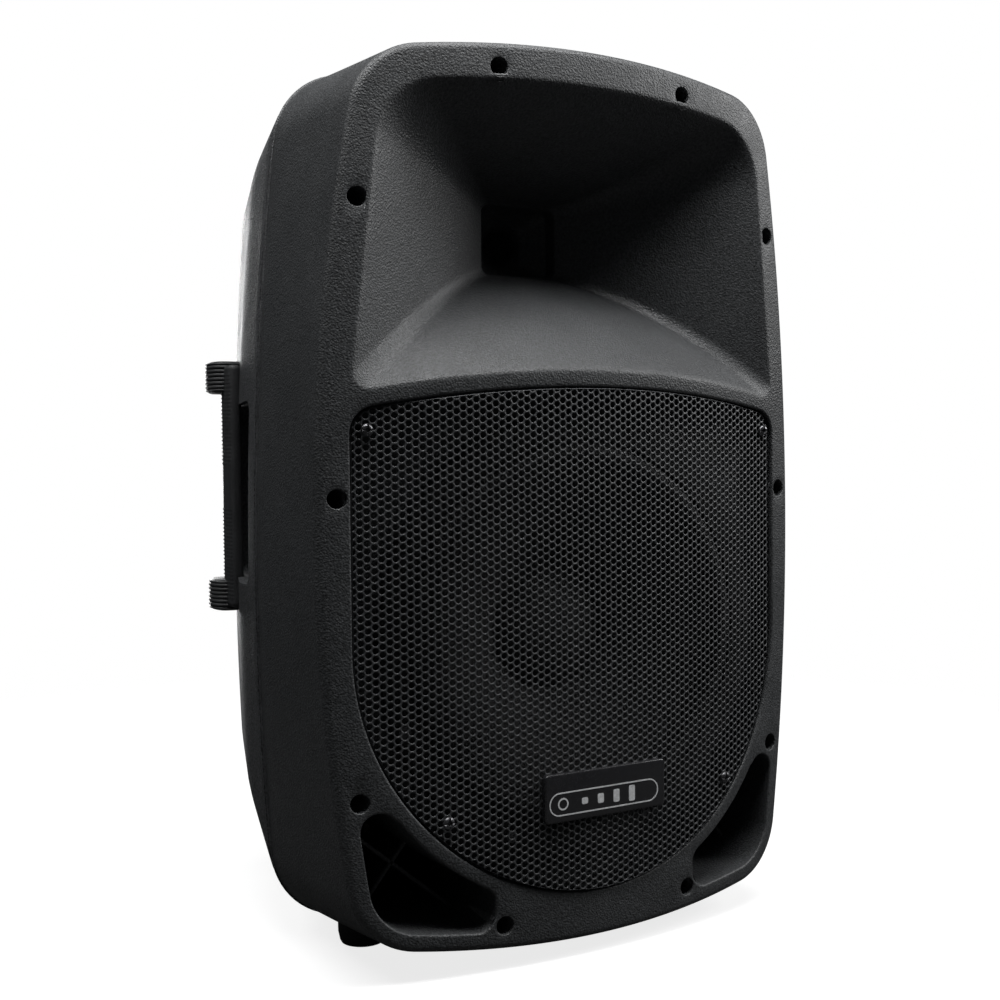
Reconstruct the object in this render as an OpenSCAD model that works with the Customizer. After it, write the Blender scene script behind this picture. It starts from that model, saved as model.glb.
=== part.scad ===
// Powered two-way loudspeaker cabinet: moulded shell in two halves, horn, woofer and rear amplifier.
// Millimetres, +Z up. The origin is the centre of the pole socket's mouth, in the cabinet's underside.
// Inside placed(), y counts back from the foremost line of the front face and z from mid height.

/* [Shell] */
// Height of the moulded shell
shell_h = 604; // [600:1:608]
// Width of the moulded shell at mid height
shell_w = 392; // [390:1:396]
// Depth from the front of the baffle to the back
shell_d = 333; // [328:1:345]
// Wall thickness of the mouldings
wall = 4.5; // [4:0.1:5]
// Radius of the front face, curved about a vertical axis
face_r = 640; // [620:5:700]
// Radius of the four corners
corner_r = 50; // [48:1:54]
// Distance from the front to the seam between the halves
seam_y = 147; // [145:1:150]
// Width across the back
back_w = 298; // [292:1:304]

/* [Horn] */
// Half width of the horn's throat opening
throat_half_w = 32.5; // [30:0.5:34]
// Height of the horn's axis above mid height
horn_z = 190; // [188:1:192]
// Depth of the driver flange
flange_y = 140; // [138:1:144]

/* [Woofer] */
// Height of the woofer's axis, below mid height
woofer_z = -95; // [-96:1:-94]
// Outer diameter of the woofer's frame
frame_d = 310; // [306:1:312]

/* [Stand and feet] */
// Diameter of the pole socket's bore, for a 35 mm pole
pole_d = 36; // [35.5:0.1:37]
// Depth of the pole socket
pole_depth = 80; // [60:5:90]
// Height of the rubber feet below the shell
foot_h = 12; // [8:1:16]

/* [Rear panel] */
// Width of the amplifier panel
panel_w = 176; // [174:1:180]
// Height of the amplifier panel
panel_h = 434; // [430:1:440]
// Diameter of the control knobs
knob_d = 18; // [14:0.5:20]

/* [Hidden] */
$fn = 48;

run = 0.05;                          // radial running clearance
fit = 0.2;                           // assembly gap between fixed pieces
half_w = shell_w / 2;
half_h = shell_h / 2;
pole_y = 190;                        // pole axis behind the front
side_r = 2000;                       // radius of the bowed sides
side_mid = -35;                      // the cabinet is widest a little below mid height
top_r = 1065;                        // radius of the arched top and bottom
seam_gap = 1.2;
back_share_w = back_w / shell_w;     // the back is the front's outline, made smaller
back_share_h = 0.985;
screw_spots = [[74.5, 283, 170], [76, -283, 170], [168.5, 194, 170], [171.3, -192.3, 170],
    [183, 3, 159]];                  // x, z and the depth of the tip
cup_y = 85;                          // floor of the deep screw counterbores
cup_r = 6.2;
boss_r = 8.7;
port_end = 82;                       // the corner ports stop this far from the middle
port_side = 183.5;                   // half width over the ports, and the radius of their outer sides
port_side_r = 1500;
port_mid = -20;
port_inset = 12.2;                   // wall between a port and the lower edge
port_ring = 9.6;                     // wall between a port and the grille opening
grille_r = 533;                      // radius of the grille sheet
grille_front = -2;                   // the sheet's crown stands proud of the face
sheet_t = 1.4;
opening_r = 174.6;                   // half width and lower radius of the grille opening
opening_top = 76.3;
grille_spots = [[163.8, 46.8], [115.2, -209.4]];
pan_y = 36;                          // front of the woofer's mounting board
board_y = 44;                        // back of the board
frame_r = frame_d / 2;
woofer_bolt_r = 148;
coil_r = 31;                         // inner radius of the voice coil former
cap_y = 57;                          // front of the dust cap's dome
cap_h = 14.7;
cap_r = 76.2;
driver_r = 43;
driver_bolt_r = 38;
neck_r = 28;                         // outside of the horn's neck, in front of the flange
throat_r = 12.7;
pocket_y = 309;                      // floor of the rear pocket, where the panel sits
panel_t = 3;
panel_y = pocket_y + panel_t;        // outer face of the panel
pocket_w = panel_w + 4;
pocket_h = panel_h + 4;
foot_r = 18;
foot_spots = [[134, 107], [92, 262]];
foot_grip = 17.5;                    // how far the foot screws reach above the lowest line of the shell
handle_z = 8.4;                      // the handle sits a little above mid height
hand_z0 = -60;                       // the hand opening, and the depth of its floor
hand_z1 = 70;
hand_y0 = 190;
hand_y1 = 262;
hand_floor = 142;
leg_z = 83;                          // centre of each handle leg from the handle's middle
leg_h = 24;
grip_half = 92;
handle_screw_y = 239;
rig_spots = [[-70, 185], [70, 185]];
rig_r = 4.25;                        // tapping bore of an M10 thread
rig_sink = 4.2;                      // the inserts end just below the arched top
knob_spots = [[-45, 175], [45, 175], [-45, 88], [0, 88], [45, 88]];
socket_spots = [[-45, 132], [45, 132]];
out_spot = [-45, 45];
mode_spot = [12, 45];
led_spots = [[38, 52], [52, 52], [38, 38], [52, 38]];
inlet_spot = [-40, -172];
rocker_spot = [42, -172];
rocker_y = 306;                      // depth of the rocker's pivot
rocker_tilt = 7;                     // the switch rests in its off position

module placed() {
    translate([0, -pole_y, half_h]) children();
}

// A shape drawn in x and z, given thickness from y0 back to y1
module prism(y0, y1) {
    translate([0, y1, 0]) rotate([90, 0, 0]) linear_extrude(y1 - y0) children();
}

module rod(spot, y0, y1, r) {
    translate([spot[0], y0, spot[1]]) rotate([-90, 0, 0]) cylinder(r = r, h = y1 - y0);
}

// A turned shape about an axis along y; the children are drawn as radius and depth
module turned(spot) {
    translate([spot[0], 0, spot[1]]) rotate([-90, 0, 0]) rotate_extrude($fn = 96) children();
}

module ring(spot, y0, y1, r0, r1) {
    turned(spot) translate([r0, y0]) square([r1 - r0, y1 - y0]);
}

module block(x0, x1, y0, y1, z0, z1) {
    translate([x0, y0, z0]) cube([x1 - x0, y1 - y0, z1 - z0]);
}

module both_sides() {
    children();
    mirror([1, 0, 0]) children();
}

module screw(spot, head_y, tip_y, head_r, head_t, r) {
    rod(spot, head_y - head_t, head_y, head_r);
    rod(spot, head_y, tip_y, r);
}

// Front view of the cabinet: bowed sides, arched ends and rounded corners
module outline(grow = 0) {
    offset(delta = grow) offset(r = corner_r, $fn = 48) offset(delta = -corner_r)
        intersection() {
            translate([half_w - side_r, side_mid]) circle(r = side_r, $fn = 240);
            translate([side_r - half_w, side_mid]) circle(r = side_r, $fn = 240);
            translate([0, half_h - top_r]) circle(r = top_r, $fn = 180);
            translate([0, top_r - half_h]) circle(r = top_r, $fn = 180);
        }
}

module grille_opening(grow = 0) {
    offset(delta = grow) offset(r = 15) offset(delta = -15)
        intersection() {
            union() {
                translate([0, woofer_z]) circle(r = opening_r, $fn = 96);
                translate([-opening_r, woofer_z]) square([2 * opening_r, 200]);
            }
            translate([0, opening_top - 913]) circle(r = 913, $fn = 240);
        }
}

module horn_mouth(grow = 0) {
    offset(delta = grow) offset(r = 8) offset(delta = -8)
        difference() {
            offset(r = 45) offset(delta = -45)
                intersection() {
                    polygon([[-182, -10], [182, -10], [148, 300], [-148, 300]]);
                    translate([0, 278 - 1100]) circle(r = 1100, $fn = 240);
                }
            translate([0, 88 - 920]) circle(r = 920, $fn = 240);
        }
}

// A corner port: what is left between the shell's edge and the grille opening
module port(grow = 0) {
    offset(delta = grow) offset(r = 12) offset(delta = -12)
        difference() {
            intersection() {
                offset(r = 35) offset(delta = -35) intersection() {
                    outline(-port_inset);
                    translate([port_side - port_side_r, port_mid]) circle(r = port_side_r, $fn = 240);
                }
                translate([port_end, -half_h]) square([half_w - port_end, half_h / 2]);
            }
            translate([0, woofer_z]) circle(r = opening_r + port_ring, $fn = 96);
        }
}

module rounded_box(w, z0, z1, r) {
    translate([0, z0]) offset(r = r) translate([r - w, r]) square([2 * (w - r), z1 - z0 - 2 * r]);
}

// Everything behind the curved front face, set back by inset
module behind_face(inset) {
    translate([0, face_r, -half_h - 50]) cylinder(r = face_r - inset, h = shell_h + 100, $fn = 360);
}

module behind_grille(inset) {
    translate([0, grille_front + grille_r, -half_h]) cylinder(r = grille_r - inset, h = shell_h, $fn = 360);
}

// The horn mouth as a thin curved sheet, the start of the flare
module mouth_sheet(grow, lead) {
    difference() {
        intersection() {
            prism(-5, 40) horn_mouth(grow);
            behind_face(lead);
        }
        behind_face(lead + 1);
    }
}

module horn_section(w, z0, z1, y, grow) {
    prism(y, y + 0.5) rounded_box(w + grow, z0 - grow, z1 + grow, 6 + grow);
}

module horn_inside() {
    hull() {
        mouth_sheet(0, -1);
        horn_section(115, 111, 250, 45, 0);
    }
    hull() {
        horn_section(115, 111, 250, 45, 0);
        horn_section(72, 142, 231, 78, 0);
    }
    hull() {
        horn_section(72, 142, 231, 78, 0);
        horn_section(throat_half_w, 163, 217, 107, 0);
    }
    hull() {
        horn_section(throat_half_w, 163, 217, 107, 0);
        rod([0, horn_z], flange_y - 1, flange_y + 1, throat_r, $fn = 32);
    }
}

module horn_outside() {
    hull() {
        mouth_sheet(4, 1);
        horn_section(115, 111, 250, 45, 5);
    }
    hull() {
        horn_section(115, 111, 250, 45, 5);
        horn_section(throat_half_w, 163, 217, 112, 5);
    }
    hull() {
        prism(110, 112) rounded_box(throat_half_w + 5, 158, 222, 8);
        rod([0, horn_z], 125, 126, neck_r);
    }
    rod([0, horn_z], 125, flange_y, neck_r);
    rod([0, horn_z], flange_y - 8, flange_y, driver_r + 1);
}

module port_duct() {
    prism(0, 130) port(3);
}

module port_ribs() {
    intersection() {
        prism(60, 112) port(1);
        for (a = [50, -40]) translate([133, 0, -246]) rotate([0, a, 0]) cube([3, 300, 140], center = true);
    }
}

module front_shell() {
    color("#36383b") placed() difference() {
        union() {
            difference() {
                intersection() {
                    prism(0, seam_y - seam_gap / 2) outline();
                    behind_face(0);
                }
                intersection() {
                    prism(-1, seam_y + 1) outline(-wall);
                    behind_face(wall);
                }
            }
            intersection() {
                union() {
                    prism(0, board_y) grille_opening(4);
                    horn_outside();
                    both_sides() {
                        port_duct();
                        for (s = screw_spots) rod(s, 0, seam_y - seam_gap / 2, boss_r);
                    }
                }
                behind_face(0);
                prism(0, seam_y) outline();
            }
        }
        difference() {
            prism(-5, pan_y) grille_opening();
            both_sides() for (s = grille_spots) intersection() {
                rod(s, 0, pan_y, 6);
                behind_grille(sheet_t + 0.4);
            }
        }
        rod([0, woofer_z], pan_y - 1, board_y + 1, 141, $fn = 96);
        horn_inside();
        both_sides() {
            difference() {
                prism(-5, 140) port();
                port_ribs();
            }
            for (s = screw_spots) {
                rod(s, -5, cup_y, cup_r);
                rod(s, cup_y - 1, seam_y, 2.6);
            }
            for (s = grille_spots) rod(s, 0, board_y - 2, 2.2 + run);
            foot_bore(foot_spots[0], 2 + run);
        }
        woofer_bolts() rod([woofer_bolt_r, 0], pan_y - 1, board_y + 1, 2.4 + run);
        driver_bolts() rod([driver_bolt_r, 0], flange_y - 9, flange_y + 1, 2.5 + run);
    }
}

module woofer_bolts() {
    for (i = [0:7]) translate([0, 0, woofer_z]) rotate([0, i * 45 + 22.5, 0]) children();
}

module driver_bolts() {
    for (i = [0:3]) translate([0, 0, horn_z]) rotate([0, i * 90 + 45, 0]) children();
}

// Outer form of the rear half: full size at the seam, narrowing evenly to the back
module rear_form(grow) {
    start = seam_y + seam_gap / 2 - (grow < 0 ? 1 : 0);
    hull() {
        prism(start, start + 1) outline(grow);
        prism(shell_d + grow - 1, shell_d + grow) scale([back_share_w, back_share_h]) outline(grow);
    }
}

// The pocket that fingers reach into, in front of and behind the handle's grip
module hand_pocket(grow) {
    block(hand_floor - grow, half_w + 14, hand_y0 - grow, hand_y1 + grow,
        hand_z0 - grow, hand_z1 + grow);
}

// A rib that ties a screw boss to the nearest end wall
module boss_web(s) {
    block(s[0] - 2, s[0] + 2, seam_y + seam_gap / 2, 178, min(s[1], sign(s[1]) * half_h),
        max(s[1], sign(s[1]) * half_h));
}

module cup_flange_seat() {
    translate([0, pole_y, -half_h]) cylinder(r = 40, h = 12);
}

module rear_shell() {
    color("#36383b") placed() difference() {
        union() {
            difference() {
                rear_form(0);
                rear_form(-wall);
            }
            intersection() {
                union() {
                    both_sides() {
                        hand_pocket(4);
                        for (s = screw_spots) rod(s, seam_y + seam_gap / 2, s[2] + 8, 8);
                        for (s = screw_spots) if (abs(s[1]) > 200) boss_web(s);
                        handle_bolts(138) cylinder(r = 8, h = 40);
                    }
                    cup_flange_seat();
                    for (s = rig_spots) translate([s[0], s[1], half_h - 45]) cylinder(r = 14, h = 45);
                    block(-pocket_w / 2 - 4, pocket_w / 2 + 4, pocket_y - 6, shell_d,
                        -pocket_h / 2 - 4, pocket_h / 2 + 4);
                }
                rear_form(0);
            }
        }
        block(-pocket_w / 2, pocket_w / 2, pocket_y, shell_d + 1, -pocket_h / 2, pocket_h / 2);
        block(-panel_w / 2 + 10, panel_w / 2 - 10, pocket_y - 7, pocket_y + 1,
            -panel_h / 2 + 10, panel_h / 2 - 10);
        panel_bolts() rod([0, 0], pocket_y - 7, pocket_y + 1, 2 + run);
        both_sides() {
            hand_pocket(0);
            for (s = screw_spots) rod(s, seam_y, s[2] + 1.5, 2.25 + run);
            handle_bolts(130) cylinder(r = 2.5 + run, h = 80);
            foot_bore(foot_spots[1], 2 + run);
        }
        translate([0, pole_y, -half_h - 1]) cylinder(r = 34 + fit, h = 5 + fit);
        translate([0, pole_y, -half_h - 1]) cylinder(r = 21 + fit, h = 30);
        cup_bolts() cylinder(r = 2 + run, h = 20);
        for (s = rig_spots) translate([s[0], s[1], half_h - 40]) cylinder(r = 9 + fit, h = 50);
    }
}

module handle_bolts(x) {
    for (z = [-leg_z, leg_z]) translate([x, handle_screw_y, handle_z + z]) rotate([0, 90, 0]) children();
}

module cup_bolts() {
    for (i = [0:3]) translate([0, pole_y, -half_h]) rotate(i * 90 + 45) translate([28, 0, 0]) children();
}

module panel_bolts() {
    for (x = [-1, 1], z = [-1, 1]) translate([x * (panel_w / 2 - 5), 0, z * (panel_h / 2 - 5)]) children();
    for (x = [-1, 1], z = [-70, 70]) translate([x * (panel_w / 2 - 5), 0, z]) children();
}

module foot_bore(s, r) {
    translate([s[0], s[1], -half_h - 1]) cylinder(r = r, h = foot_grip + 1.3);
}

module shell_gasket() {
    color("#101112") placed() prism(seam_y - seam_gap / 2, seam_y + seam_gap / 2) difference() {
        outline(-2.2);
        outline(-wall);
    }
}

module shell_screws() {
    color("#202124") placed() both_sides() for (s = screw_spots) screw(s, cup_y, s[2], 4.6, 3, 2.25);
}

module grille() {
    color("#2b2c2e") placed() difference() {
        intersection() {
            prism(-5, pan_y - 1) grille_opening(-1.2);
            behind_grille(0);
            difference() {
                union() {
                    prism(-5, pan_y - 1) difference() {
                        grille_opening(-1.2);
                        grille_opening(-2.6);
                    }
                    difference() {
                        prism(-5, pan_y - 1) grille_opening(-2);
                        behind_grille(sheet_t);
                    }
                }
                behind_grille(8);
            }
        }
        both_sides() for (s = grille_spots) rod(s, -5, pan_y, 2.7);
    }
}

module grille_screws() {
    color("#26272a") placed() both_sides() for (s = grille_spots) {
        sheet_y = grille_front + grille_r - sqrt(pow(grille_r, 2) - pow(s[0], 2));
        head_y = sheet_y - 2;
        screw(s, head_y, pan_y + 4, 4.3, 2.6, 2.2);
    }
}

module badge() {
    color("#1d1e20") placed() prism(grille_front - 2.6, grille_front)
        translate([0, -201]) offset(r = 3) square([93, 27], center = true);
}

module woofer_basket() {
    color("#2a2b2d") placed() difference() {
        turned([0, woofer_z])
            polygon([[137, pan_y - 5], [frame_r, pan_y - 5], [frame_r, pan_y], [139, pan_y],
                [139, pan_y + 6], [92, 98], [88, 108], [40, 108], [40, 104.5], [82, 104.5],
                [82, 99], [74, 99], [74, 96.2], [87, 96.2], [134, 39], [134, pan_y - 3.6],
                [137, pan_y - 3.6]]);
        woofer_bolts() rod([woofer_bolt_r, 0], 0, 60, 2.4 + run);
        for (i = [0:7]) translate([0, 0, woofer_z]) rotate([0, i * 45, 0])
            block(-22, 22, 50, 90, 70, 150);
    }
}

module woofer_gasket() {
    color("#141415") placed() difference() {
        ring([0, woofer_z], pan_y - 8, pan_y - 5, 137, frame_r);
        woofer_bolts() rod([woofer_bolt_r, 0], 0, 60, 5.2);
    }
}

module woofer_surround() {
    color("#1b1b1c") placed() turned([0, woofer_z]) difference() {
        union() {
            translate([126.5, pan_y - 5]) circle(r = 8, $fn = 40);
            translate([115, pan_y - 6.2]) square([21.8, 1.2]);
        }
        translate([126.5, pan_y - 5]) circle(r = 7, $fn = 40);
        translate([100, pan_y - 5]) square([50, 20]);
    }
}

module woofer_cone() {
    color("#242526") placed() turned([0, woofer_z])
        polygon([[115, pan_y - 5], [120, pan_y - 5], [120, pan_y - 4], [115.6, pan_y - 3.8],
            [coil_r + 2.4, 82], [coil_r + 0.9, 82], [coil_r + 0.9, 79.5]]);
}

module dust_cap() {
    color("#1c1d1e") placed() turned([0, woofer_z]) difference() {
        translate([0, cap_y + cap_r]) circle(r = cap_r, $fn = 180);
        translate([0, cap_y + cap_r]) circle(r = cap_r - 0.8, $fn = 180);
        translate([-100, cap_y + cap_h]) square([200, 200]);
        translate([-100, cap_y - 1]) square([100, 60]);
    }
}

module voice_coil() {
    color("#b06a3a") placed() {
        ring([0, woofer_z], 76, 128, coil_r, coil_r + 0.8);
        ring([0, woofer_z], 106, 120, coil_r, coil_r + 1.4);
    }
}

module spider() {
    color("#c9a24a") placed() turned([0, woofer_z])
        polygon(concat(
            [for (i = [0:32]) [coil_r + 0.9 + i * 1.4, 93.6 + 1.8 * cos(i * 90)]],
            [for (i = [32:-1:0]) [coil_r + 0.9 + i * 1.4, 94.4 + 1.8 * cos(i * 90)]]));
}

module woofer_top_plate() {
    color("#8f9296") placed() ring([0, woofer_z], 108, 116, coil_r + 2, 80);
}

module woofer_magnet() {
    color("#2c2d30") placed() ring([0, woofer_z], 116, 138, 46, 85);
}

module woofer_yoke() {
    color("#8f9296") placed() turned([0, woofer_z]) difference() {
        union() {
            translate([0, 138]) square([80, 9]);
            translate([0, 108]) square([coil_r - 1, 31]);
        }
        translate([0, 100]) square([9, 60]);
    }
}

module woofer_terminals() {
    color("#b9bcc0") placed() translate([0, 0, woofer_z]) rotate([0, 22.5, 0]) {
        block(-14, 14, 78, 80, 112, 126);
        for (x = [-8, 8]) block(x - 2.4, x + 2.4, 80, 92, 117, 118);
    }
}

module woofer_screws() {
    color("#202124") placed() woofer_bolts()
        screw([woofer_bolt_r, 0], pan_y - 5, board_y + 4, 4.6, 3, 2.4);
}

module driver_front_plate() {
    color("#8f9296") placed() difference() {
        union() {
            rod([0, horn_z], flange_y, flange_y + 8, driver_r);
            rod([0, horn_z], flange_y + 8, flange_y + 33, 21.5);
        }
        rod([0, horn_z], flange_y - 1, flange_y + 40, throat_r);
        driver_bolts() rod([driver_bolt_r, 0], flange_y - 1, flange_y + 6, 2.5 + run);
    }
}

module driver_magnet() {
    color("#2c2d30") placed() ring([0, horn_z], flange_y + 8, flange_y + 26, 29, 46);
}

module driver_rear_plate() {
    color("#8f9296") placed() ring([0, horn_z], flange_y + 26, flange_y + 33, 23.4, driver_r);
}

// Fills the diaphragm's dome and leads the sound to the throat through small holes
module phase_plug() {
    color("#202124") placed() difference() {
        turned([0, horn_z]) intersection() {
            translate([0, flange_y + 14]) circle(r = 30.4, $fn = 120);
            translate([0, flange_y + 33]) square([21.5, 20]);
        }
        for (i = [0:9]) translate([0, 0, horn_z]) rotate([0, i * 36, 0])
            rod([9.4, 0], flange_y + 32, flange_y + 48, 1.3);
        for (i = [0:4]) translate([0, 0, horn_z]) rotate([0, i * 72, 0])
            rod([4.6, 0], flange_y + 32, flange_y + 48, 1.3);
    }
}

module driver_diaphragm() {
    color("#7f8a92") placed() {
        ring([0, horn_z], flange_y + 27, flange_y + 36, 22.1, 22.7);
        turned([0, horn_z]) difference() {
            translate([0, flange_y + 14]) circle(r = 31.5, $fn = 120);
            translate([0, flange_y + 14]) circle(r = 31.2, $fn = 120);
            translate([-60, -60]) square([120, 60 + flange_y + 36]);
            translate([-60, 0]) square([60, 300]);
        }
        ring([0, horn_z], flange_y + 35.6, flange_y + 36, 22.1, 27);
    }
}

module driver_cover() {
    color("#232427") placed() turned([0, horn_z]) difference() {
        translate([0, flange_y + 33]) square([driver_r - 1, 22]);
        translate([-1, flange_y + 32]) square([driver_r - 4, 20]);
    }
}

module driver_screws() {
    color("#9a9da1") placed() driver_bolts()
        screw([driver_bolt_r, 0], flange_y - 8, flange_y + 5, 4.3, 3, 2.5);
}

// Plan of a handle leg, from the sloping side of the rear shell out to the grip
module leg_plan() {
    offset(r = 3) offset(delta = -3)
        polygon([[189, 222], [197, 226], [200, 236], [199, 247], [194, 256], [150, 256], [150, 222]]);
}

module grip_plan() {
    offset(r = 6) offset(delta = -6)
        polygon([[172, 206], [186, 206], [191, 211], [194, 220], [194, 233], [187, 240], [172, 240],
            [168, 222]]);
}

module handle() {
    difference() {
        union() {
            translate([0, 0, handle_z - grip_half]) linear_extrude(2 * grip_half) grip_plan();
            for (z = [-leg_z, leg_z]) translate([0, 0, handle_z + z - leg_h / 2]) {
                linear_extrude(leg_h) leg_plan();
            }
            for (z = [-leg_z, leg_z], i = [-3:3]) translate([0, 0, handle_z + z + i * 3.2 - 0.8])
                linear_extrude(1.6) offset(r = 1.2) leg_plan();
        }
        difference() {
            rear_form(0.02);
            hand_pocket(0);
        }
        handle_bolts(130) cylinder(r = 2.5 + run, h = 62);
    }
}

module handle_right() {
    color("#2a2b2d") placed() handle();
}

module handle_left() {
    color("#2a2b2d") placed() mirror([1, 0, 0]) handle();
}

module handle_screws() {
    color("#202124") placed() both_sides() handle_bolts(135) {
        cylinder(r = 4.6, h = 3);
        translate([0, 0, 3]) cylinder(r = 2.5, h = 50);
    }
}

module rubber_feet() {
    color("#121213") placed() both_sides() for (s = foot_spots) difference() {
        translate([s[0], s[1], -half_h - foot_h]) cylinder(r1 = foot_r - 2, r2 = foot_r, h = foot_h + 24);
        prism(0, seam_y) outline(fit);
        rear_form(fit);
        foot_bore(s, 2 + run);
        translate([s[0], s[1], -half_h - foot_h - 1]) cylinder(r = 5, h = 6);
        translate([s[0], s[1], -half_h - foot_h - 1]) cylinder(r = 2 + run, h = 60);
    }
}

module foot_screws() {
    color("#8f9296") placed() both_sides() for (s = foot_spots) {
        translate([s[0], s[1], -half_h - foot_h + 3]) cylinder(r = 4.4, h = 2);
        translate([s[0], s[1], -half_h - foot_h + 5]) cylinder(r = 2, h = foot_h + foot_grip - 5);
    }
}

module pole_cup() {
    color("#1c1d1f") placed() difference() {
        translate([0, pole_y, -half_h]) rotate_extrude($fn = 96) union() {
            square([34, 4]);
            square([21, pole_depth + 4]);
        }
        translate([0, pole_y, -half_h - 1]) cylinder(d = pole_d, h = pole_depth + 1, $fn = 96);
        cup_bolts() translate([0, 0, -1]) cylinder(r = 2 + run, h = 20);
        cup_bolts() translate([0, 0, -1]) cylinder(r = 4.2, h = 3);
    }
}

module pole_cup_screws() {
    color("#8f9296") placed() cup_bolts() {
        translate([0, 0, 0.2]) cylinder(r = 4, h = 1.8);
        translate([0, 0, 2]) cylinder(r = 2, h = 14);
    }
}

// Threaded steel inserts for eye bolts, flush in the top of the shell
module rigging_inserts() {
    color("#a4a7ab") placed() for (s = rig_spots) translate([s[0], s[1], half_h - 40]) difference() {
        cylinder(r = 9, h = 40 - rig_sink);
        translate([0, 0, 3]) cylinder(r = rig_r, h = 60);
    }
}

module panel_cutouts() {
    for (s = knob_spots) rod(s, pocket_y - 1, panel_y + 1, 4.1 + fit);
    for (s = socket_spots) rod(s, pocket_y - 1, panel_y + 1, 12 + fit);
    rod(out_spot, pocket_y - 1, panel_y + 1, 12 + fit);
    for (s = socket_spots) block(s[0] - 4.5, s[0] + 4.5, pocket_y - 1, panel_y + 1, s[1] + 10, s[1] + 14.2);
    block(mode_spot[0] - 7, mode_spot[0] + 7, pocket_y - 1, panel_y + 1, mode_spot[1] - 3, mode_spot[1] + 3);
    for (s = led_spots) rod(s, pocket_y - 1, panel_y + 1, 2.5 + run);
    block(inlet_spot[0] - 15, inlet_spot[0] + 15, pocket_y - 1, panel_y + 1,
        inlet_spot[1] - 18, inlet_spot[1] + 13);
    block(rocker_spot[0] - 10.5, rocker_spot[0] + 10.5, pocket_y - 1, panel_y + 1,
        rocker_spot[1] - 14.5, rocker_spot[1] + 14.5);
}

module amp_panel() {
    color("#1e1f21") placed() difference() {
        prism(pocket_y, panel_y) offset(r = 4) square([panel_w - 8, panel_h - 8], center = true);
        panel_cutouts();
        panel_bolts() rod([0, 0], pocket_y - 1, panel_y + 1, 2.3);
    }
}

module panel_screws() {
    color("#3a3b3e") placed() panel_bolts() {
        rod([0, 0], panel_y, panel_y + 2.4, 3.8);
        rod([0, 0], pocket_y - 10, panel_y, 2);
    }
}

module heat_sink() {
    color("#232426") placed() {
        block(-78, 78, panel_y, panel_y + 4, -130, 18);
        for (i = [0:15]) block(-76 + i * 10, -74 + i * 10, panel_y + 4, shell_d - 4, -130, 18);
    }
}

module amp_board() {
    color("#2f5d3a") placed() {
        block(-70, 70, 284, 285.6, -125, 10);
        for (x = [-62, 62], z = [-118, 3]) rod([x, z], 285.6, pocket_y, 3.5);
        for (x = [-40, 0, 40]) block(x - 9, x + 9, 285.6, pocket_y, -80, -66);
    }
}

module transformer() {
    color("#c08a3e") placed() {
        ring([0, -172], 262, 300, 14, 24);
        difference() {
            rod([0, -172], 300, pocket_y, 16);
            rod([0, -172], 299, pocket_y + 1, 4);
        }
    }
}

module filter_capacitors() {
    color("#27406b") placed() for (x = [-45, 45]) rod([x, -35], 244, 284, 15);
}

module control_board() {
    color("#2f5d3a") placed() {
        block(-66, 66, 283.4, 285, 28, 200);
        for (x = [-62, 62], z = [32, 196]) rod([x, z], 285, pocket_y, 3);
    }
}

module pots() {
    color("#9a9da1") placed() for (s = knob_spots) {
        rod(s, 285, pocket_y - 0.5, 8.5);
        rod(s, pocket_y - 0.5, panel_y + 3, 4.1);
        rod(s, panel_y + 3, panel_y + 12, 3);
    }
}

module knob(i) {
    color("#2c2d2f") placed() difference() {
        union() {
            turned(knob_spots[i]) polygon([[0, panel_y + 4], [knob_d / 2, panel_y + 4],
                [knob_d / 2 - 1, panel_y + 15], [knob_d / 2 - 2.2, panel_y + 17], [0, panel_y + 17]]);
            for (a = [0:20:340]) translate([knob_spots[i][0], 0, knob_spots[i][1]]) rotate([0, a, 0])
                rod([knob_d / 2 - 0.4, 0], panel_y + 4, panel_y + 13, 0.8, $fn = 16);
        }
        rod(knob_spots[i], panel_y, panel_y + 12.5, 3 + run);
    }
}

module knob_input_1() { knob(0); }
module knob_input_2() { knob(1); }
module knob_treble() { knob(2); }
module knob_bass() { knob(3); }
module knob_master() { knob(4); }

module round_socket(s, bore) {
    difference() {
        union() {
            block(s[0] - 13, s[0] + 13, panel_y, panel_y + 2.5, s[1] - 15.5, s[1] + 15.5);
            rod(s, 285.2, panel_y, 12);
        }
        rod(s, 291, panel_y + 3, bore);
        block(s[0] - 4.2, s[0] + 4.2, panel_y - 3, panel_y + 3, s[1] + 11, s[1] + 14);
    }
}

module input_sockets() {
    color("#1a1b1c") placed() for (s = socket_spots) {
        round_socket(s, 10);
        difference() {
            rod(s, 290, 308, 5);
            rod(s, 293, 309, 3.3);
        }
    }
}

module latch(s) {
    color("#b9bcc0") placed()
        block(s[0] - 4, s[0] + 4, panel_y - 1, panel_y + 4.5, s[1] + 12.2, s[1] + 13.8);
}

module latch_1() { latch(socket_spots[0]); }
module latch_2() { latch(socket_spots[1]); }

module output_socket() {
    color("#1a1b1c") placed() {
        round_socket(out_spot, 9.5);
        for (a = [90, 210, 330]) translate([out_spot[0], 0, out_spot[1]]) rotate([0, a, 0])
            rod([4.2, 0], 290, 305, 1.2);
    }
}

module mode_switch() {
    color("#1a1b1c") placed() difference() {
        block(mode_spot[0] - 6.8, mode_spot[0] + 6.8, 299, panel_y,
            mode_spot[1] - 2.8, mode_spot[1] + 2.8);
        block(mode_spot[0] - 5.6, mode_spot[0] + 5.6, 303, panel_y + 1,
            mode_spot[1] - 1.9, mode_spot[1] + 1.9);
    }
}

module mode_slider() {
    color("#c8cacd") placed()
        block(mode_spot[0] - 5.4, mode_spot[0] - 0.4, 303.2, panel_y + 3,
            mode_spot[1] - 1.8, mode_spot[1] + 1.8);
}

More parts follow.
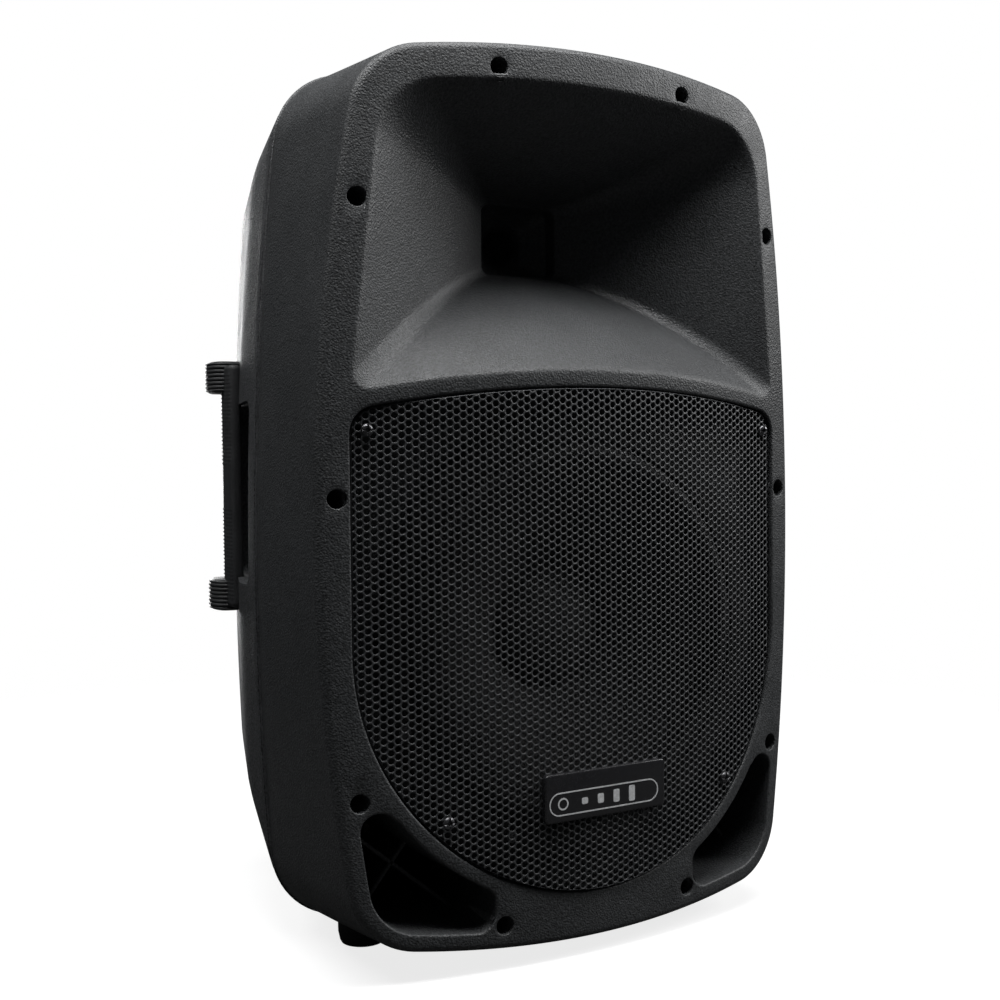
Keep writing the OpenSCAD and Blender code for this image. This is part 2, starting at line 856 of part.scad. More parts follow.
module power_switch() {
    color("#1a1b1c") placed() difference() {
        union() {
            block(rocker_spot[0] - 12, rocker_spot[0] + 12, panel_y, panel_y + 2,
                rocker_spot[1] - 16, rocker_spot[1] + 16);
            block(rocker_spot[0] - 10.3, rocker_spot[0] + 10.3, 290, panel_y,
                rocker_spot[1] - 14.3, rocker_spot[1] + 14.3);
        }
        block(rocker_spot[0] - 8.5, rocker_spot[0] + 8.5, 294, panel_y + 3,
            rocker_spot[1] - 13.2, rocker_spot[1] + 13.2);
        rocker_pin(1.5 + run, 10.4);
    }
}

module rocker_pin(r, half_l) {
    translate([rocker_spot[0] - half_l, rocker_y, rocker_spot[1]]) rotate([0, 90, 0])
        cylinder(r = r, h = 2 * half_l);
}

module power_rocker() {
    color("#a32620") placed() {
        translate([rocker_spot[0] - 8, rocker_y, rocker_spot[1]]) rotate([90, 0, 90]) linear_extrude(16)
            rotate(-rocker_tilt)
                polygon([[-4, -5], [2, -11.4], [11.5, -11.8], [7.5, 0], [11.5, 11.8], [2, 11.4], [-4, 5]]);
        rocker_pin(1.5, 9.8);
    }
}

module mains_inlet() {
    color("#1a1b1c") placed() {
        difference() {
            union() {
                block(inlet_spot[0] - 18, inlet_spot[0] + 18, panel_y, panel_y + 2.5,
                    inlet_spot[1] - 21, inlet_spot[1] + 16);
                block(inlet_spot[0] - 14.8, inlet_spot[0] + 14.8, 284, panel_y,
                    inlet_spot[1] - 17.8, inlet_spot[1] + 12.8);
            }
            block(inlet_spot[0] - 12, inlet_spot[0] + 12, 294, panel_y + 3,
                inlet_spot[1] - 6, inlet_spot[1] + 10);
            block(inlet_spot[0] - 11, inlet_spot[0] + 11, 294, panel_y + 3,
                inlet_spot[1] - 16.2, inlet_spot[1] - 8.2);
        }
        for (x = [-7, 0, 7]) block(inlet_spot[0] + x - 1, inlet_spot[0] + x + 1, 293, 309,
            inlet_spot[1] + (x == 0 ? 2.5 : 0), inlet_spot[1] + (x == 0 ? 6.5 : 4));
    }
}

module fuse_drawer() {
    color("#232426") placed() {
        block(inlet_spot[0] - 10.8, inlet_spot[0] + 10.8, 295, panel_y + 2.5,
            inlet_spot[1] - 16, inlet_spot[1] - 8.4);
        block(inlet_spot[0] - 7, inlet_spot[0] + 7, panel_y + 2.5, panel_y + 4,
            inlet_spot[1] - 13.4, inlet_spot[1] - 11);
    }
}

module led_lenses() {
    color("#59b36a") placed() for (s = led_spots) {
        rod(s, 306, panel_y + 0.5, 2.5);
        translate([s[0], panel_y + 0.5, s[1]]) sphere(r = 2.3);
    }
}

// A cable along a list of points, with rounded bends
module cable(points, r) {
    for (i = [0:len(points) - 2]) {
        step = points[i + 1] - points[i];
        translate(points[i]) rotate([0, acos(step[2] / norm(step)), atan2(step[1], step[0])])
            cylinder(r = r, h = norm(step), $fn = 20);
    }
    for (i = [1:len(points) - 2]) translate(points[i]) sphere(r = r * 1.1, $fn = 20);
}

module wiring() {
    color("#8c2f2a") placed() {
        cable([[58, 283.8, -100], [58, 230, -100], [90, 170, -20], [52, 94.2, 20], [51.5, 94.2, 9]], 2);
        cable([[58, 283.8, -10], [58, 262, -10], [58, 240, 40], [20, 215, 150], [0, 197.2, 190]], 2);
    }
}

module wadding() {
    color("#d8d6cf") placed() {
        block(-80, 80, 205, 290, 238, 262);
        block(-80, 80, 225, 290, -276, -250);
    }
}

front_shell();
rear_shell();
shell_gasket();
shell_screws();
grille();
grille_screws();
badge();
woofer_basket();
woofer_gasket();
woofer_surround();
woofer_cone();
dust_cap();
voice_coil();
spider();
woofer_top_plate();
woofer_magnet();
woofer_yoke();
woofer_terminals();
woofer_screws();
driver_front_plate();
driver_magnet();
driver_rear_plate();
phase_plug();
driver_diaphragm();
driver_cover();
driver_screws();
handle_left();
handle_right();
handle_screws();
rubber_feet();
foot_screws();
pole_cup();
pole_cup_screws();
rigging_inserts();
amp_panel();
panel_screws();
heat_sink();
amp_board();
transformer();
filter_capacitors();
control_board();
pots();
knob_input_1();
knob_input_2();
knob_treble();
knob_bass();
knob_master();
input_sockets();
latch_1();
latch_2();
output_socket();
mode_switch();
mode_slider();
power_switch();
power_rocker();
mains_inlet();
fuse_drawer();
led_lenses();
wiring();
wadding();
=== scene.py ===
"""Looks of the powered speaker cabinet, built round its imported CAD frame."""
import math

import bmesh
import bpy
import numpy as np
from mathutils import Matrix, Vector
from mathutils.geometry import delaunay_2d_cdt


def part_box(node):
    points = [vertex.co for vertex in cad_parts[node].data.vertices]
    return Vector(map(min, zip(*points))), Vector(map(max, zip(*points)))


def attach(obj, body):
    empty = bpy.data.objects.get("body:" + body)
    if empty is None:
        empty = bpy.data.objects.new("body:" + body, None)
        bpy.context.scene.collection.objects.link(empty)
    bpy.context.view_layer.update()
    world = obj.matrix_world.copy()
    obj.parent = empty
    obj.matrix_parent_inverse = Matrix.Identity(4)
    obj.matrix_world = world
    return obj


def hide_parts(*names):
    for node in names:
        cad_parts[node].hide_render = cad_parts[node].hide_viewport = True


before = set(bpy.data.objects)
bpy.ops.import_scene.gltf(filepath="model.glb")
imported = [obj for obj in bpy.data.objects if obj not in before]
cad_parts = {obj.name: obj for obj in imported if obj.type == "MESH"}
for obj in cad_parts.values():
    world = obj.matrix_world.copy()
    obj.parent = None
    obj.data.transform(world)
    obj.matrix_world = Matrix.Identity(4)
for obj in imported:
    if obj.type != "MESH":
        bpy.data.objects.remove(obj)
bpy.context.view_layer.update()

# ---------------------------------------------------------------- sizes, in millimetres
MM = 0.001
shell_lo, shell_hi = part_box("front_shell")
FRONT = shell_lo.y / MM                      # foremost line of the front face
MID = (shell_lo.z + shell_hi.z) / 2 / MM     # mid height
HALF_H = (shell_hi.z - shell_lo.z) / 2 / MM
HALF_W = shell_hi.x / MM
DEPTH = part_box("rear_shell")[1].y / MM - FRONT
SEAM_FRONT = shell_hi.y / MM - FRONT
SEAM_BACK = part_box("rear_shell")[0].y / MM - FRONT
PANEL_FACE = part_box("amp_panel")[1].y / MM - FRONT
PANEL_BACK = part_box("amp_panel")[0].y / MM - FRONT
PANEL_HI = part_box("amp_panel")[1] / MM
WOOFER_Z = (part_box("woofer_basket")[0].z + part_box("woofer_basket")[1].z) / 2 / MM - MID
GRILLE_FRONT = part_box("grille")[0].y / MM - FRONT
FACE_R = 640          # front face, curved about a vertical axis
GRILLE_R = 533        # grille sheet, curved a little more
TOP_R = 1065          # arch of the top and bottom
CORNER_R = 50
SEAM_RISE = 4         # the outline grows by this at the top and bottom between the face and the seam
SEAM_CORNER_R = 58.5
SEAM_ARCH_R = 6000    # the arch is nearly flat at the seam
BEND_LOW_R = 55       # what the lower and upper corners gain between the seam and the bend
BEND_HIGH_R = 34
EDGE_R = 5            # rounding between the front face and the sides
FACE_BOW = 1 / 3000   # how the sides bow in above and below, per square millimetre
SEAM_BOW = 1 / 5500
FACE_BOW_Z = -20      # height at which they are widest
SEAM_BOW_Z = -50
BEND_Y = 192          # behind this the rear half narrows
BEND_SOFT = 10
DRAFT = 2.8           # what the rear half loses on each side between the seam and the bend
BACK_SHARE_W = 0.77   # the back is the outline at the bend, made smaller
BACK_SHARE_H = 0.985
SEAM_SOFT = 0.8       # rounding of the edges along the seam
BACK_SOFT = 7         # rounding of the edge round the back
OPENING_R = 174.6     # half width and lower radius of the grille opening
OPENING_TOP = 76.3
OPENING_TOP_R = 913
PAN_Y = 36            # woofer's mounting board
BOARD_Y = 44
CUTOUT_R = 141
THROAT_Y = 107
FLANGE_Y = 139
HORN_Z = 190
PITCH = 5.12          # between neighbouring holes of the grille
SCREW_SPOTS = [(74.5, 283), (76, -283), (168.5, 194), (171.3, -192.3), (183, 3)]
GRILLE_SPOTS = [(163.8, 46.8), (115.2, -209.4)]
COUNTERBORE_R = 6.2
CUP_Y = 85
PORT_END = 82         # the corner ports stop this far from the middle
PORT_SIDE = 183.5     # half width over the ports
PORT_MID = -20
PORT_INSET = 12.2     # wall between a port and the lower edge
PORT_RING = 9.6       # wall between a port and the grille opening
PORT_R = 12
PORT_DEPTH = 130
PORT_RIBS = np.array((133, -246))


def place(x, y, z):
    """A point given from the front, in millimetres from mid height, in the frame's metres."""
    return (x * MM, (y + FRONT) * MM, (z + MID) * MM)


def face_y(x):
    """Depth of the curved front face at x."""
    return FACE_R - math.sqrt(FACE_R ** 2 - x ** 2)


def sheet_y(x):
    """Depth of the grille sheet's outer face at x."""
    return GRILLE_FRONT + GRILLE_R - math.sqrt(GRILLE_R ** 2 - x ** 2)


# ---------------------------------------------------------------- mesh tools
class Build:
    """Collects vertices and faces, then makes one welded, smooth-shaded object."""

    def __init__(self):
        self.verts = []
        self.faces = []

    def ring(self, points):
        start = len(self.verts)
        self.verts.extend(place(*p) for p in points)
        return list(range(start, len(self.verts)))

    def bridge(self, a, b):
        n = len(a)
        for i in range(n):
            j = (i + 1) % n
            self.faces.append((a[i], a[j], b[j], b[i]))

    def loft(self, rings):
        made = [self.ring(r) for r in rings]
        for a, b in zip(made, made[1:]):
            self.bridge(a, b)
        return made

    def cap(self, ring, flip=False):
        self.faces.append(tuple(reversed(ring)) if flip else tuple(ring))

    def closed(self, rings):
        """Lofts the rings and caps both ends."""
        made = self.loft(rings)
        self.cap(made[0])
        self.cap(made[-1], flip=True)

    def sheet(self, loops, depth, spacing, flip=False):
        """Fills the area inside the first loop and outside the others, at depth(x)."""
        points = [p for loop in loops for p in loop]
        edges = []
        start = 0
        for loop in loops:
            n = len(loop)
            edges.extend((start + i, start + (i + 1) % n) for i in range(n))
            start += n
        xs = [p[0] for p in loops[0]]
        zs = [p[1] for p in loops[0]]
        grid_x = np.arange(min(xs) + spacing / 2, max(xs), spacing)
        grid_z = np.arange(min(zs) + spacing / 2, max(zs), spacing * 2)
        grid = [(x, z) for x in grid_x for z in grid_z]
        grid = [g for g, ok in zip(grid, inside_area(grid, loops, spacing * 0.35)) if ok]
        points.extend(grid)
        out = delaunay_2d_cdt([Vector(p) for p in points], edges, [], 0, 1e-6)
        flat = [(v.x, v.y) for v in out[0]]
        centres = [tuple(np.mean([flat[i] for i in f], axis=0)) for f in out[2]]
        keep = inside_area(centres, loops, 0)
        base = len(self.verts)
        self.verts.extend(place(x, depth(x), z) for x, z in flat)
        for f, ok in zip(out[2], keep):
            if ok:
                face = tuple(base + i for i in f)
                self.faces.append(tuple(reversed(face)) if flip else face)

    def make(self, name, material, sharp=40.0, weld=2e-5):
        mesh = bpy.data.meshes.new(name)
        mesh.from_pydata(self.verts, [], self.faces)
        bm = bmesh.new()
        bm.from_mesh(mesh)
        bmesh.ops.remove_doubles(bm, verts=bm.verts, dist=weld)
        bmesh.ops.dissolve_degenerate(bm, dist=1e-6, edges=bm.edges)
        bmesh.ops.recalc_face_normals(bm, faces=bm.faces)
        shade(bm, sharp)
        bm.to_mesh(mesh)
        bm.free()
        obj = bpy.data.objects.new(name, mesh)
        bpy.context.scene.collection.objects.link(obj)
        obj.data.materials.append(material)
        return obj


def shade(bm, sharp):
    """Smooth shading with a crease wherever two faces meet at more than sharp degrees."""
    limit = math.radians(sharp)
    for f in bm.faces:
        f.smooth = True
    for e in bm.edges:
        e.smooth = len(e.link_faces) != 2 or e.calc_face_angle(0) < limit


def inside_area(points, loops, margin):
    """For each point, whether it lies inside the first loop, outside the rest and off their lines."""
    if not len(points):
        return []
    pts = np.array(points, float)
    result = np.ones(len(pts), bool)
    for number, loop in enumerate(loops):
        a = np.array(loop, float)
        b = np.roll(a, -1, axis=0)
        odd = np.zeros(len(pts), bool)
        near = np.full(len(pts), 1e9)
        for (x0, z0), (x1, z1) in zip(a, b):
            crosses = (z0 > pts[:, 1]) != (z1 > pts[:, 1])
            if z0 != z1:
                at = (x1 - x0) * (pts[:, 1] - z0) / (z1 - z0) + x0
                odd ^= crosses & (pts[:, 0] < at)
            if margin:
                d = np.array([x1 - x0, z1 - z0])
                t = np.clip(((pts - (x0, z0)) @ d) / max(d @ d, 1e-12), 0, 1)
                near = np.minimum(near, np.hypot(*(pts - (x0, z0) - t[:, None] * d).T))
        result &= odd if number == 0 else ~odd
        if margin:
            result &= near > margin
    return result


def offset_loop(loop, amount):
    """A loop of (x, z) points moved outward by amount along its normals."""
    pts = np.array(loop, float)
    step = np.roll(pts, -1, axis=0) - np.roll(pts, 1, axis=0)
    normal = np.stack([step[:, 1], -step[:, 0]], axis=1)
    normal /= np.linalg.norm(normal, axis=1)[:, None]
    area = np.sum(pts[:, 0] * np.roll(pts[:, 1], -1) - np.roll(pts[:, 0], -1) * pts[:, 1])
    return [tuple(p) for p in pts + normal * amount * (1 if area > 0 else -1)]


def circle_loop(x, z, r, n=32):
    return [(x + r * math.cos(2 * math.pi * i / n), z + r * math.sin(2 * math.pi * i / n)) for i in range(n)]


def arc_corner(start, corner, end, n):
    """Points strictly between start and end on the round curve that is tangent at both."""
    a, c, b = (np.array(p, float) for p in (start, corner, end))
    u = (a - c) / np.linalg.norm(a - c)
    v = (b - c) / np.linalg.norm(b - c)
    weight = math.sin(math.acos(max(-1, min(1, float(u @ v)))) / 2)
    points = []
    for i in range(1, n):
        t = i / n
        w = np.array([(1 - t) ** 2, 2 * t * (1 - t) * weight, t * t])
        points.append(tuple((w[0] * a + w[1] * c + w[2] * b) / w.sum()))
    return points


def quad_loop(w, z0, z1, slope=0.0, bow=0.0, dip0=0.0, dip1=0.0, r0=10.0, r1=10.0, mid=0.0,
              n_end=16, n_corner=10, n_side=24):
    """A four-sided outline, symmetric in x, with curved edges and rounded corners.

    The sides are at w at height mid, narrow by slope with height and bow in; the lower edge is at
    z0 - dip0 x^2 and the upper at z1 - dip1 x^2; r0 and r1 round the lower and upper corners."""
    def side(z):
        return w - slope * (z - mid) - bow * (z - mid) ** 2

    def corner(z_end, dip):
        x, z = w, z_end
        for _ in range(30):
            x = side(z)
            z = z_end - dip * x * x
        return x, z

    def tangent(r, x, z, dip, way):
        """How far from the corner an arc of radius r has to start."""
        lean_side = math.atan(slope + 2 * bow * (z - mid)) * way
        lean_end = math.atan(2 * dip * x) * way
        return r / math.tan((math.pi / 2 + lean_side + lean_end) / 2)

    half = []
    x0, zc0 = corner(z0, dip0)
    x1, zc1 = corner(z1, dip1)
    t0 = tangent(r0, x0, zc0, dip0, -1)
    t1 = tangent(r1, x1, zc1, dip1, 1)
    end_x = x0 - t0
    half.extend((end_x * i / n_end, z0 - dip0 * (end_x * i / n_end) ** 2) for i in range(n_end + 1))
    side_z0, side_z1 = zc0 + t0, zc1 - t1
    half.extend(arc_corner(half[-1], (x0, zc0), (side(side_z0), side_z0), n_corner))
    for i in range(n_side + 1):
        z = side_z0 + (side_z1 - side_z0) * i / n_side
        half.append((side(z), z))
    top_x = x1 - t1
    half.extend(arc_corner(half[-1], (x1, zc1), (top_x, z1 - dip1 * top_x ** 2), n_corner))
    half.extend((top_x * i / n_end, z1 - dip1 * (top_x * i / n_end) ** 2) for i in range(n_end, -1, -1))
    return half + [(-x, z) for x, z in half[-2:0:-1]]


def mirror_x(points):
    return [(-x, z) for x, z in points]


# ---------------------------------------------------------------- materials
GRAIN_HEIGHT = 0.0006    # metres
ROUGH_SPREAD = 0.09


def new_material(name):
    material = bpy.data.materials.new(name)
    material.use_nodes = True
    nodes = material.node_tree.nodes
    links = material.node_tree.links
    shader = nodes["Principled BSDF"]
    coords = nodes.new("ShaderNodeTexCoord")
    return material, nodes, links, shader, coords.outputs["Object"]


def noise(nodes, links, coords, scale, detail=4.0, roughness=0.5):
    node = nodes.new("ShaderNodeTexNoise")
    node.inputs["Scale"].default_value = scale
    node.inputs["Detail"].default_value = detail
    node.inputs["Roughness"].default_value = roughness
    links.new(coords, node.inputs["Vector"])
    return node.outputs["Fac"]


def ramp(nodes, links, value, stops):
    node = nodes.new("ShaderNodeValToRGB")
    elements = node.color_ramp.elements
    while len(elements) < len(stops):
        elements.new(0.5)
    for element, (pos, colour) in zip(elements, stops):
        element.position = pos
        element.color = (*colour, 1) if isinstance(colour, tuple) else (colour, colour, colour, 1)
    links.new(value, node.inputs["Fac"])
    return node.outputs["Color"]


def add_bump(nodes, links, shader, height, strength, distance, after=None):
    bump = nodes.new("ShaderNodeBump")
    bump.inputs["Strength"].default_value = strength
    bump.inputs["Distance"].default_value = distance
    links.new(height, bump.inputs["Height"])
    if after is not None:
        links.new(after, bump.inputs["Normal"])
    links.new(bump.outputs["Normal"], shader.inputs["Normal"])
    return bump.outputs["Normal"]


def finish_material(name, colour, rough=0.5, metal=0.0, grain=0.0, grain_scale=900.0, vary=0.2, wear=0.0,
                    spec=0.5, coat=0.0, brushed=False, cell=False, speck=0.25):
    """A surface with colour and roughness variation, a fine grain and paler worn edges."""
    material, nodes, links, shader, coords = new_material(name)
    broad = noise(nodes, links, coords, 9.0, 5.0)
    low = tuple(c * (1 - vary) for c in colour)
    high = tuple(min(1, c * (1 + vary)) for c in colour)
    tint = ramp(nodes, links, broad, [(0.3, low), (0.7, high)])
    fine = noise(nodes, links, coords, grain_scale * 0.7, 3.0)
    mix = nodes.new("ShaderNodeMix")
    mix.data_type = "RGBA"
    mix.blend_type = "MULTIPLY"
    mix.inputs["Factor"].default_value = 0.6
    links.new(tint, mix.inputs["A"])
    links.new(ramp(nodes, links, fine, [(0.3, 0.95 - speck), (0.7, 1.0 + speck)]), mix.inputs["B"])
    base = mix.outputs["Result"]
    if wear:
        geometry = nodes.new("ShaderNodeNewGeometry")
        edge = ramp(nodes, links, geometry.outputs["Pointiness"], [(0.505, 0.0), (0.56, 1.0)])
        scuffs = ramp(nodes, links, noise(nodes, links, coords, 60.0, 6.0), [(0.45, 0.0), (0.7, 1.0)])
        both = nodes.new("ShaderNodeMath")
        both.operation = "MULTIPLY"
        links.new(edge, both.inputs[0])
        links.new(scuffs, both.inputs[1])
        scaled = nodes.new("ShaderNodeMath")
        scaled.operation = "MULTIPLY"
        scaled.inputs[1].default_value = wear
        links.new(both.outputs[0], scaled.inputs[0])
        worn = nodes.new("ShaderNodeMix")
        worn.data_type = "RGBA"
        links.new(scaled.outputs[0], worn.inputs["Factor"])
        links.new(base, worn.inputs["A"])
        worn.inputs["B"].default_value = (*[min(1, c * 3 + 0.06) for c in colour], 1)
        base = worn.outputs["Result"]
    links.new(base, shader.inputs["Base Color"])
    spread = ramp(nodes, links, noise(nodes, links, coords, 35.0, 6.0),
                  [(0.25, max(0, rough - ROUGH_SPREAD)), (0.75, min(1, rough + ROUGH_SPREAD))])
    links.new(spread, shader.inputs["Roughness"])
    shader.inputs["Metallic"].default_value = metal
    shader.inputs["Specular IOR Level"].default_value = spec
    shader.inputs["Coat Weight"].default_value = coat
    if grain:
        if cell:
            node = nodes.new("ShaderNodeTexVoronoi")
            node.feature = "SMOOTH_F1"
            node.inputs["Scale"].default_value = grain_scale
            links.new(coords, node.inputs["Vector"])
            height = node.outputs["Distance"]
        elif brushed:
            stretch = nodes.new("ShaderNodeMapping")
            stretch.inputs["Scale"].default_value = (1, 1, 0.03)
            links.new(coords, stretch.inputs["Vector"])
            height = noise(nodes, links, stretch.outputs["Vector"], grain_scale, 3.0)
        else:
            height = noise(nodes, links, coords, grain_scale, 4.0, 0.6)
        add_bump(nodes, links, shader, height, grain, GRAIN_HEIGHT)
    return material


SHELL = finish_material("shell_plastic", (0.040, 0.042, 0.044), rough=0.50, grain=0.7, grain_scale=850,
                        vary=0.12, wear=0.25, cell=True, speck=0.9)
# Painted light: the rear half's plastic is made paler than the front half's, so that its strip along the side
# reads as lit.
REAR_PAINTED_LIGHT = finish_material("rear_shell_plastic_painted_light", (0.060, 0.062, 0.065), rough=0.62, grain=0.6, grain_scale=850,
                       vary=0.12, wear=0.25, spec=0.1, cell=True, speck=0.9)
STEEL_BLACK = finish_material("grille_powder_coat", (0.050, 0.052, 0.055), rough=0.42, metal=0.0, grain=0.2,
                              grain_scale=2600, vary=0.15, wear=0.0, spec=0.6)
HANDLE = finish_material("handle_plastic", (0.030, 0.031, 0.033), rough=0.55, grain=0.35, grain_scale=1300,
                         wear=0.3)
RUBBER = finish_material("rubber", (0.016, 0.016, 0.017), rough=0.72, grain=0.4, grain_scale=1600, vary=0.25)
GLOSS = finish_material("badge_black", (0.018, 0.018, 0.020), rough=0.22, grain=0.06, grain_scale=500,
                        vary=0.1, coat=0.3)
WHITE = finish_material("badge_white", (0.72, 0.73, 0.74), rough=0.4, grain=0.05, grain_scale=900, vary=0.05)
DARK_STEEL = finish_material("black_zinc", (0.10, 0.10, 0.105), rough=0.3, metal=0.9, grain=0.15,
                             grain_scale=1500, wear=0.4)
ZINC = finish_material("zinc_plate", (0.50, 0.51, 0.52), rough=0.32, metal=1.0, grain=0.15,
                       grain_scale=1200, brushed=True)
PAPER = finish_material("pressed_paper", (0.028, 0.028, 0.029), rough=0.8, grain=0.8, grain_scale=700,
                        vary=0.3)
CLOTH = finish_material("coated_cloth", (0.022, 0.022, 0.023), rough=0.6, grain=0.8, grain_scale=1500,
                        vary=0.2)
COPPER = finish_material("varnished_copper", (0.55, 0.26, 0.12), rough=0.3, metal=0.9, grain=0.4,
                         grain_scale=1800, brushed=True)
SPIDER = finish_material("resin_cloth", (0.45, 0.30, 0.11), rough=0.75, grain=0.8, grain_scale=1400)
FERRITE = finish_material("ferrite", (0.045, 0.045, 0.05), rough=0.6, grain=0.5, grain_scale=1000)
BASKET = finish_material("black_paint", (0.022, 0.022, 0.024), rough=0.4, grain=0.3, grain_scale=700,
                         wear=0.3)
FOIL = finish_material("titanium_foil", (0.40, 0.44, 0.48), rough=0.25, metal=1.0, grain=0.2, grain_scale=900)
PANEL = finish_material("panel_coat", (0.020, 0.020, 0.022), rough=0.42, grain=0.35, grain_scale=2200,
                        wear=0.3)
HEAT = finish_material("black_anodise", (0.024, 0.024, 0.027), rough=0.33, metal=0.6, grain=0.25,
                       grain_scale=1300, brushed=True, wear=0.3)
BOARD = finish_material("solder_mask", (0.02, 0.13, 0.05), rough=0.35, grain=0.3, grain_scale=300)
TAPE = finish_material("winding_tape", (0.55, 0.33, 0.08), rough=0.35, grain=0.4, grain_scale=500,
                       brushed=True)
SLEEVE = finish_material("capacitor_sleeve", (0.02, 0.06, 0.18), rough=0.25, grain=0.1, grain_scale=600)
KNOB = finish_material("knob_plastic", (0.030, 0.030, 0.032), rough=0.45, grain=0.3, grain_scale=1800,
                       wear=0.35)
SOCKET = finish_material("socket_plastic", (0.013, 0.013, 0.014), rough=0.4, grain=0.25, grain_scale=1700)
CHROME = finish_material("latch_plate", (0.62, 0.62, 0.64), rough=0.18, metal=1.0, grain=0.1, grain_scale=900)
PALE = finish_material("pale_plastic", (0.70, 0.70, 0.72), rough=0.4, grain=0.15, grain_scale=1500)
RED = finish_material("rocker_red", (0.40, 0.025, 0.02), rough=0.28, grain=0.08, grain_scale=900, coat=0.2)
GREEN = finish_material("lens_green", (0.04, 0.36, 0.10), rough=0.2, grain=0.05, grain_scale=900, coat=0.4)
CABLE = finish_material("cable_sleeve", (0.28, 0.02, 0.016), rough=0.45, grain=0.2, grain_scale=900)
FIBRE = finish_material("polyester_fibre", (0.72, 0.71, 0.67), rough=0.95, grain=1.0, grain_scale=260,
                        vary=0.15)

CAD_MATERIALS = {
    "shell_gasket": RUBBER, "shell_screws": DARK_STEEL, "woofer_basket": BASKET, "woofer_gasket": RUBBER,
    "woofer_surround": CLOTH, "woofer_cone": PAPER, "dust_cap": PAPER, "voice_coil": COPPER, "spider": SPIDER,
    "woofer_top_plate": ZINC, "woofer_magnet": FERRITE, "woofer_yoke": ZINC, "woofer_terminals": ZINC,
    "woofer_screws": DARK_STEEL, "driver_front_plate": ZINC, "driver_magnet": FERRITE,
    "driver_rear_plate": ZINC, "phase_plug": SOCKET, "driver_diaphragm": FOIL, "driver_cover": SOCKET,
    "driver_screws": ZINC,
    "handle_screws": DARK_STEEL, "foot_screws": ZINC, "pole_cup": SOCKET, "pole_cup_screws": ZINC,
    "rigging_inserts": ZINC, "amp_panel": PANEL, "panel_screws": DARK_STEEL, "heat_sink": HEAT,
    "amp_board": BOARD, "transformer": TAPE, "filter_capacitors": SLEEVE, "control_board": BOARD,
    "pots": ZINC, "input_sockets": SOCKET, "latch_1": CHROME, "latch_2": CHROME, "output_socket": SOCKET,
    "mode_switch": SOCKET, "mode_slider": PALE, "power_switch": SOCKET, "power_rocker": RED,
    "mains_inlet": SOCKET, "fuse_drawer": KNOB, "led_lenses": GREEN, "wiring": CABLE, "wadding": FIBRE,
    "knob_input_1": KNOB, "knob_input_2": KNOB, "knob_treble": KNOB, "knob_bass": KNOB, "knob_master": KNOB,
    "front_shell": SHELL, "rear_shell": REAR_PAINTED_LIGHT, "grille": STEEL_BLACK, "grille_screws": DARK_STEEL,
    "badge": GLOSS, "handle_left": HANDLE, "handle_right": HANDLE, "rubber_feet": RUBBER,
}
for node_name, material in CAD_MATERIALS.items():
    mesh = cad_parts[node_name].data
    mesh.materials.clear()
    mesh.materials.append(material)


# ---------------------------------------------------------------- outlines
def cabinet_loop(w, bow, mid, z0, z1, r0, r1, inset=0.0, arch_r=TOP_R):
    """Front view of the cabinet: bowed sides, arched ends and rounded corners."""
    arch = 1 / (2 * arch_r)
    loop = quad_loop(w, z0, z1, bow=bow, mid=mid, dip0=-arch, dip1=arch, r0=r0, r1=r1,
                     n_end=20, n_corner=16, n_side=40)
    return offset_loop(loop, -inset)


def shell_loop(inset=0.0, share=0.0):
    """Outline of the front half; its sides straighten as share runs from 0 at the face to 1 at the seam."""
    half_h = HALF_H + SEAM_RISE * share
    corner = CORNER_R + (SEAM_CORNER_R - CORNER_R) * share
    bow = FACE_BOW - share * (FACE_BOW - SEAM_BOW)
    mid = FACE_BOW_Z + share * (SEAM_BOW_Z - FACE_BOW_Z)
    arch_r = 1 / ((1 - share) / TOP_R + share / SEAM_ARCH_R)
    return cabinet_loop(HALF_W + 0.5 - 0.8 * share, bow, mid, -half_h, half_h, corner, corner, inset, arch_r)


def horn_loop(t):
    """The horn's cross-section, from the throat at t = 0 to the mouth at t = 1."""
    s = t ** 1.2
    w = 32.5 + (170.2 - 32.5) * t
    return quad_loop(w, 163 - 75 * s, 217 + 61 * s, slope=0.109 * t, mid=163 - 63 * s,
                     dip0=s / (2 * 920) if t else 0, dip1=s / (2 * 1100), r0=7 + 3 * t, r1=8 + 37 * s,
                     n_end=20, n_corner=12, n_side=24)


def opening_loop(inset=0.0):
    """The grille opening: a half circle below, upright sides and an arched top edge."""
    r = OPENING_R
    half = [(r * math.sin(a), WOOFER_Z - r * math.cos(a)) for a in np.linspace(0, math.pi / 2, 41)]
    corner_z = OPENING_TOP - r * r / (2 * OPENING_TOP_R)
    for z in np.linspace(WOOFER_Z, corner_z - 15, 21)[1:]:
        half.append((r, z))
    end = (r - 15, OPENING_TOP - (r - 15) ** 2 / (2 * OPENING_TOP_R))
    half.extend(arc_corner(half[-1], (r, corner_z), end, 8))
    for x in np.linspace(r - 15, 0, 21):
        half.append((x, OPENING_TOP - x * x / (2 * OPENING_TOP_R)))
    loop = half + [(-x, z) for x, z in half[-2:0:-1]]
    return offset_loop(loop, -inset)


